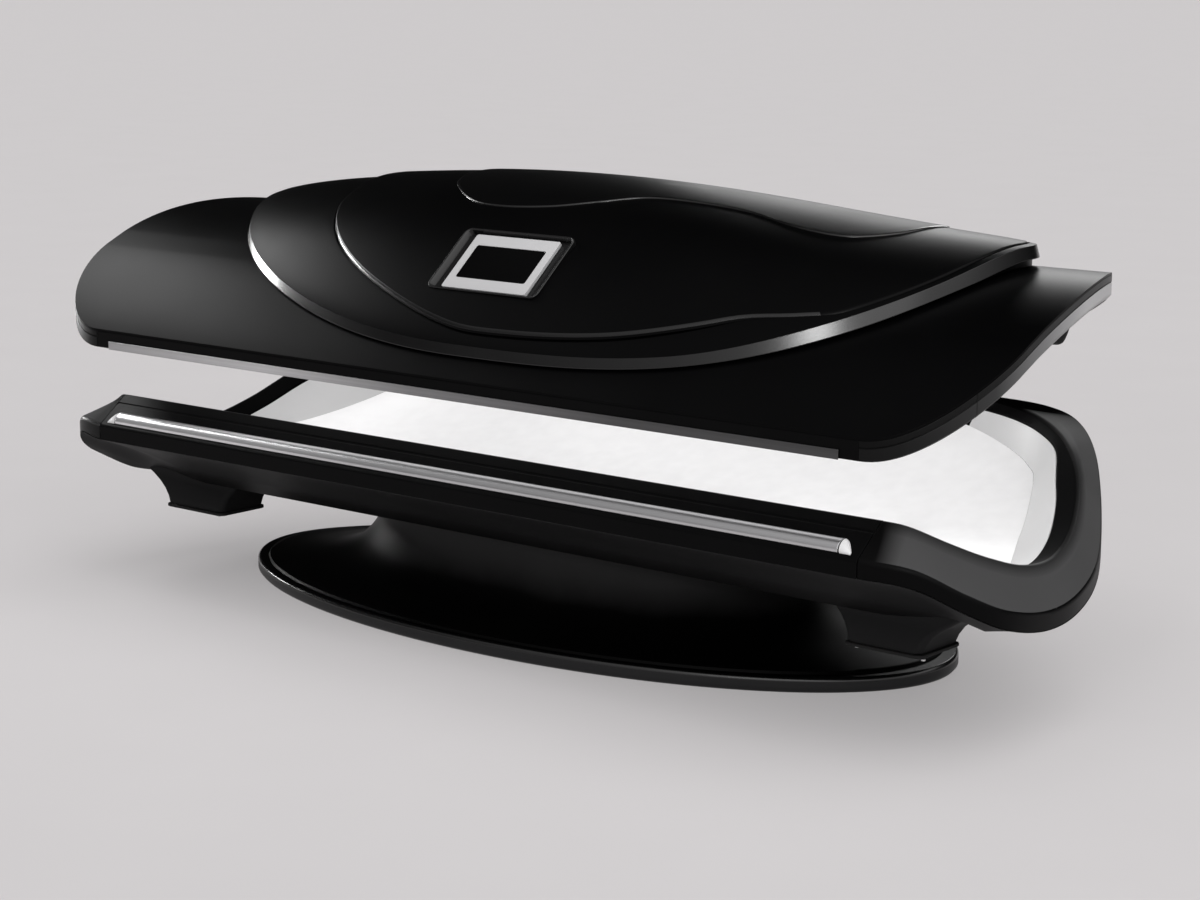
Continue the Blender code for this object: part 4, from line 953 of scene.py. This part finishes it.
def front_trim():
    foot = Vector((0.0, FRONT_Y + RIM_ROUND, RAIL_EDGE_Z))
    slope = Vector((0.0, RAIL_TOP_Y - foot.y, RAIL_TOP_Z - foot.z)).normalized()
    out = Vector((0.0, -slope.z, slope.y))
    half = FRONT_HALF - TRIM_END_IN
    outline = []
    for k in range(29):
        ang = math.pi * k / 28
        p = foot + slope * (TRIM_UP + TRIM_H / 2 * (1 - math.cos(ang)))
        p += out * (TRIM_LIFT + TRIM_BULGE * math.sin(ang))
        outline.append((p.y, p.z))
    sections = [[(x, y, z) for y, z in outline] for x in (-half, half)]
    dress("front_trim_strip", "brushed_aluminium", *swept(sections), bevel=0.0008, segments=2, angle=50.0)
    low = Vector((0.0, *outline[0]))
    for side, sign in (("left", -1), ("right", 1)):
        sections = []
        for k in range(13):
            t = k / 12
            part = NOSE_TIP + (1 - NOSE_TIP) * (1 - t ** NOSE_POWER)
            x = sign * (half + CAP_OFF + 2 * CAP_R * t)
            sections.append([(x, *(low + (Vector((0.0, y, z)) - low) * part).yz) for y, z in outline])
        dress("trim_cap_" + side, "pale_plug", *swept(sections), bevel=0.0006, segments=2, angle=50.0)


# Canopy
def band(profile):
    """Sections of a profile of (inset, drop), taken round the right half of the canopy's plan."""
    lines = [(plan(inset), drop) for inset, drop in profile]
    return [[(line[k][0], line[k][1], skin_z(line[k][1]) - drop) for line, drop in lines]
            for k in range(len(lines[0][0]))]


def canopy_shell():
    rows = [(x, y, skin_z(y)) for x, y in plan()]
    dress("canopy_skin", "satin_black", *sheet(rows, SKIN_T), bevel=0.0015)
    rows = [(x, y, skin_z(y) - DIFFUSER_DROP + ACRYLIC_T) for x, y in plan(DIFFUSER_IN)]
    dress("canopy_acrylic", "opal_acrylic", *sheet(rows, ACRYLIC_T))
    sections = band(BAND_PROFILE)
    dress("canopy_front_rail", "gloss_black", *straight(sections[0], FRONT_HALF), bevel=0.0016)
    dress("canopy_rear_rail", "graphite", *straight(sections[-1], BACK_FLAT), bevel=0.0016)


def canopy_ends():
    sections = band(END_PROFILE)
    end = CORNER_STEPS * 2 // 3
    corner = sections[:end + 1]
    first = [Vector(p).lerp(Vector(q), 0.05) for p, q in zip(sections[end], sections[end + 1])]
    tail = [first] + sections[end + 1:]
    runs = (("canopy_corner_", corner, "gloss_black"), ("canopy_end_trim_", tail, "graphite"))
    for side, flip in (("right", False), ("left", True)):
        for name, secs, slot in runs:
            verts, faces = swept([flipped(s) for s in secs] if flip else secs)
            # The faces below the groove take end_lower, which carries the brighter painted reflection
            pale = [int(k % len(END_PROFILE) in (4, 5)) for k in range(len(faces) - 2)] + [0, 0]
            dress(name + side, slot, verts, faces, ("end_upper", "end_lower"), pale, bevel=0.0008, segments=2)


def canopy_fittings():
    low = skin_z(FRONT_Y) - BAND_FOOT + CANOPY_TRIM_LOW
    y0 = FRONT_Y - GAP
    y1 = y0 - CANOPY_TRIM_OUT
    high = low + CANOPY_TRIM_H
    half = FRONT_HALF - CANOPY_TRIM_END_IN
    sections = [[(x, y, z) for y, z in ((y0, low), (y0, high), (y1, high), (y1, low))] for x in (-half, half)]
    dress("canopy_trim_strip", "silver_trim", *swept(sections), bevel=0.0011)
    rot = Matrix.Rotation(-math.asin(BUMPER_Y / CANOPY_R), 3, "X")
    top = Vector((0.0, BUMPER_Y, skin_z(BUMPER_Y) - BAND_FLANGE_DROP)) - rot @ Vector((0.0, 0.0, CURVE_GAP))
    guide = ((0.0, -1.0), (0.5, -1.0), (0.82, -0.88), (0.96, -0.55), (1.0, -0.2), (1.0, 0.0))
    curve = through([(r, z, 0.0) for r, z in guide], 24)
    profile = [(max(p.x, 0.0) * BUMPER_R, p.y * BUMPER_H) for p in curve] + [(0.0, 0.0)]
    for side, sign in (("left", -1), ("right", 1)):
        verts, faces = turned(profile)
        at = top + Vector((sign * plan_x(BUMPER_IN, BUMPER_Y), 0.0, 0.0))
        dress("canopy_bumper_" + side, "rubber", [rot @ v + at for v in verts], faces)


# Cowl
def spokes():
    return [2 * math.pi * (k + 0.5) / SPOKES for k in range(SPOKES)]


def turn_of(ang):
    """The angle in degrees, from -180 to 180."""
    return math.degrees(math.atan2(math.sin(ang), math.cos(ang)))


def flush(ang):
    """1 at the right end, where the two cowls meet flush, and 0 on the left."""
    return eased((FLUSH_FROM - abs(turn_of(ang))) / FLUSH_RUN)


def on_skin(rho, ang, lift):
    x, y = cowl_point(rho, ang)
    return x, y, skin_z(y) + lift


def on_cowl(rho, ang, lift):
    x, y = cowl_point(rho, ang)
    return x, y, cowl_z(x, y) + lift


def outer_cowl():
    sections = []
    for ang in spokes():
        edge = step_rho(ang)
        outside = edge + GROOVE
        raised = COWL_STEP * FLUSH_SHARE * flush(ang)
        turn = turn_of(ang)
        gap = LIP_GAP + LIP_RISE * eased((turn + 20.0) / 20.0) * eased((80.0 - turn) / 40.0)
        sec = [on_skin(1.0, ang, gap), on_skin(1.0, ang, gap + 0.002)]
        for k in range(LIP_STEPS + 1):
            sec.append(on_cowl(LIP_TOP + (outside - LIP_TOP) * (k / LIP_STEPS), ang, raised))
        sec.append(on_cowl(outside, ang, -COWL_SEAT))
        sec.append(on_cowl(edge - REBATE, ang, -COWL_SEAT))
        sec.append(on_cowl(edge - REBATE, ang, -COWL_SEAT_LOW))
        sec.append(on_cowl(min(edge, LIP_FOOT), ang, -COWL_SEAT_LOW))
        sec.append(on_skin(LIP_FOOT, ang, 2 * CURVE_GAP))
        sec.append(on_skin(LIP_UNDER, ang, 2 * CURVE_GAP))
        sec.append(on_skin(LIP_UNDER, ang, gap))
        sections.append(sec)
    verts, faces = swept(sections, closed=True)
    lip = [int(k % len(sections[0]) < 2) for k in range(len(faces))]
    dress("outer_cowl", "satin_black", verts, faces, ("satin_black", "lip"), lip,
          bevel=0.0010, segments=2, angle=18.0)


def screen_at(u, v, n):
    tilt = math.radians(SCREEN_TILT)
    up = Vector((0.0, math.cos(tilt), math.sin(tilt)))
    out = Vector((0.0, -math.sin(tilt), math.cos(tilt)))
    return Vector((SCREEN_X + u, SCREEN_Y, cowl_z(SCREEN_X, SCREEN_Y) + SCREEN_UP)) + up * v + out * n


def screen_ring(w, l, r, n):
    return [screen_at(u, v, n) for u, v in rounded_box(w / 2, l / 2, r, 8)]


def screen_frame():
    rings = [screen_ring(SCREEN_W - 2 * a, SCREEN_L - 2 * b, r, n) for a, b, r, n in FRAME_RINGS]
    dress("screen_frame", "gloss_black", *swept(rings), looks=("frame",))


def inner_cowl():
    start = INNER_RIM[-1][0]
    top = [(part, COWL_STEP + drop) for part, drop in INNER_RIM]
    top += [(start - INNER_SPAN * k / INNER_RINGS, COWL_STEP) for k in range(1, INNER_RINGS + 1)]
    under = [(part, COWL_STEP - COWL_T) for part in INNER_UNDER]
    under += [(INNER_UNDER[-1], CURVE_GAP), (1.0, CURVE_GAP)]
    rings = [[on_cowl(part * step_rho(ang), ang, lift) for ang in spokes()] for part, lift in top + under]
    crown = len(top) - 1
    n = SPOKES
    verts = [p for ring in rings for p in ring]
    faces = []
    for i in range(len(rings)):
        j = (i + 1) % len(rings)
        if i != crown:
            for k in range(n):
                m = (k + 1) % n
                faces.append((i * n + k, i * n + m, j * n + m, j * n + k))
    for i, lift in ((crown, COWL_STEP), (crown + 1, COWL_STEP - COWL_T)):
        middle = len(verts)
        verts.append((COWL_X, 0.0, cowl_z(COWL_X, 0.0) + lift))
        faces += [(i * n + k, i * n + (k + 1) % n, middle) for k in range(n)]
    shiny = [int(flush(ang) < SHINY_BELOW) for ang in spokes()]
    edge = [shiny[k % n] if k < 3 * n else 0 for k in range(len(faces))]
    obj = new_object("inner_cowl_form", verts, faces, [MATS["satin_black"], MATS["lip"]], edge)
    wide = SCREEN_W + 2 * SEAM
    deep = SCREEN_L + 2 * SEAM
    opening = [screen_ring(wide, deep, OPENING_R, height) for height in (-OPENING_DEPTH, OPENING_DEPTH)]
    tool = new_object("screen_opening", *swept(opening), [])
    cutter = obj.modifiers.new("opening", "BOOLEAN")
    cutter.operation = "DIFFERENCE"
    cutter.solver = "EXACT"
    cutter.object = tool
    applied(obj)
    bpy.data.objects.remove(tool)
    finish_piece(obj, ["inner_cowl"], "satin_black")


def top_panel():
    front = [(p.x, p.y) for p in through([(x, y, 0.0) for x, y in PANEL_LINE], PANEL_STEPS)]
    outline = front + [(x, -y) for x, y in reversed(front[1:-1])]
    mid_x = COWL_X + PANEL_MID
    heights = [(1.0, 0.0002), (1.0, PANEL_RAISE * 0.35), (0.997, PANEL_RAISE * 0.8), (0.990, PANEL_RAISE)]
    heights += [(0.99 - 0.9 * k / 16, PANEL_RAISE) for k in range(1, 17)]
    rings = []
    for part, lift in heights:
        points = [(mid_x + (x - mid_x) * part, y * part) for x, y in outline]
        rings.append([(x, y, cowl_z(x, y) + COWL_STEP + lift) for x, y in points])
    verts, faces = swept(rings)
    edge = [int(k < 3 * len(outline)) for k in range(len(faces))]
    dress("top_panel", "gloss_black", verts, faces, ("gloss_black", "lip"), edge)


# Carried-over CAD nodes
COPIED = (
    ("screen_bezel", "screen_bezel", 0.0007),
    ("touch_screen", "screen_glass", 0.0006),
    ("hinge_bracket_left", "coated_steel", 0.0010), ("hinge_bracket_right", "coated_steel", 0.0010),
    ("hinge_arm_left", "coated_steel", 0.0010), ("hinge_arm_right", "coated_steel", 0.0010),
    ("hinge_pin_left", "zinc_screw", 0.0008), ("hinge_pin_right", "zinc_screw", 0.0008),
    ("mains_gland", "fan_plastic", 0.0010),
    ("sole_screw_left_inner", "zinc_screw", 0.0005), ("sole_screw_left_outer", "zinc_screw", 0.0005),
    ("sole_screw_right_inner", "zinc_screw", 0.0005), ("sole_screw_right_outer", "zinc_screw", 0.0005),
)


def carried():
    for side, flip in (("left", True), ("right", False)):
        low_in, _, low_out, _ = FOOT_GROWTH[side]
        spread = (-low_out, low_in) if flip else (-low_in, low_out)
        copied("foot_sole_" + side, "rubber", spread=spread, bevel=0.0014, segments=2)
    for node, slot, bevel in COPIED:
        copied(node, slot, bevel=bevel, segments=2)
    for row in frame["record"]["subparts"]:
        obj = frame["nodes"][row["node"]]
        if not obj.hide_render:
            obj.data.materials.clear()
            obj.data.materials.append(MATS[row["material_slot"]])


pedestal()
bench_rims()
bench_surface()
bench_hull()
stub_feet()
front_trim()
canopy_shell()
canopy_ends()
canopy_fittings()
outer_cowl()
inner_cowl()
screen_frame()
top_panel()
carried()

# Camera
cam_data = bpy.data.cameras.new("camera")
cam_data.lens = 79.2
cam_data.sensor_width = 36.0
camera = bpy.data.objects.new("camera", cam_data)
camera.location = (3.344, -3.962, 1.328)
camera.rotation_euler = (math.radians(90 - 10.80), 0.0, math.radians(40.40))
cam_data.clip_end = 400.0
bpy.context.collection.objects.link(camera)
bpy.context.scene.camera = camera

# Floor
floor_mesh = bpy.data.meshes.new("floor")
floor_mesh.from_pydata([(-150, -150, 0), (150, -150, 0), (150, 150, 0), (-150, 150, 0)], [], [(0, 1, 2, 3)])
floor = bpy.data.objects.new("floor", floor_mesh)
bpy.context.collection.objects.link(floor)
mat, nodes, links, shader = blank("floor_look")
cloud = noise(nodes, links, 3.0, 2.0)
pale = ramp(nodes, links, cloud, (0.608, 0.590, 0.595), (0.622, 0.604, 0.609))
links.new(pale, shader.inputs["Base Color"])
shader.inputs["Roughness"].default_value = 0.9
shader.inputs["Specular IOR Level"].default_value = 0.1
# Part of the pale floor tone is given to the view alone, so that the shadow stays faint
glow = nodes.new("ShaderNodeEmission")
glow.inputs["Color"].default_value = (0.620, 0.602, 0.607, 1.0)
path = nodes.new("ShaderNodeLightPath")
seen = calc(nodes, links, "ADD", path.outputs["Is Camera Ray"], path.outputs["Is Glossy Ray"])
seen = calc(nodes, links, "ADD", seen, path.outputs["Is Transmission Ray"])
mixed = nodes.new("ShaderNodeMixShader")
links.new(calc(nodes, links, "MULTIPLY", seen, FLOOR_GLOW), mixed.inputs["Fac"])
links.new(shader.outputs["BSDF"], mixed.inputs[1])
links.new(glow.outputs["Emission"], mixed.inputs[2])
out = next(node for node in nodes if node.type == "OUTPUT_MATERIAL")
links.new(mixed.outputs["Shader"], out.inputs["Surface"])
floor_mesh.materials.append(mat)

# Light
world = bpy.data.worlds.new("world")
bpy.context.scene.world = world
world.use_nodes = True
nodes = world.node_tree.nodes
links = world.node_tree.links
back = nodes["Background"]
back.inputs["Color"].default_value = (1.0, 0.985, 0.99, 1.0)
coord = nodes.new("ShaderNodeTexCoord")
facing = nodes.new("ShaderNodeVectorMath")
facing.operation = "DOT_PRODUCT"
facing.inputs[1].default_value = Vector((0.58, -0.55, 0.60)).normalized()
links.new(coord.outputs["Generated"], facing.inputs[0])
links.new(span(nodes, links, facing.outputs["Value"], 0.012, 1.25, -0.05, 0.95), back.inputs["Strength"])


def lamp(name, kind, energy, location, aim, **sizes):
    data = bpy.data.lights.new(name, kind)
    data.energy = energy
    for key, value in sizes.items():
        setattr(data, key, value)
    obj = bpy.data.objects.new(name, data)
    obj.location = location
    obj.rotation_euler = (Vector(aim) - Vector(location)).to_track_quat("-Z", "Y").to_euler()
    bpy.context.collection.objects.link(obj)
    obj.visible_camera = False


def sun(name, energy, location, angle):
    lamp(name, "SUN", energy, location, (0.0, 0.0, 0.5), angle=math.radians(angle))


def box(name, energy, location, aim, size, size_y, spread):
    lamp(name, "AREA", energy, location, aim, shape="RECTANGLE", size=size, size_y=size_y,
         spread=math.radians(spread))


sun("back_sun", 0.90, (2.2, 1.4, 4.4), 70)
sun("front_sun", 0.80, (2.0, -2.4, 3.2), 60)
box("front_box", 0.9, (1.55, -3.20, 1.50), (0.80, -0.36, 0.72), 1.2, 0.5, 20)
box("left_box", 2.6, (-2.50, -0.30, 1.80), (-0.9, -0.25, 0.7), 1.1, 0.7, 70)
box("side_box", 2.4, (-4.0, -0.15, 0.72), (-0.5, -0.35, 0.72), 0.8, 0.5, 25)
box("back_box", 2.0, (-1.1, 3.4, 1.85), (0.9, 0.0, 0.8), 2.2, 1.0, 50)

bpy.context.scene.view_settings.view_transform = "Standard"
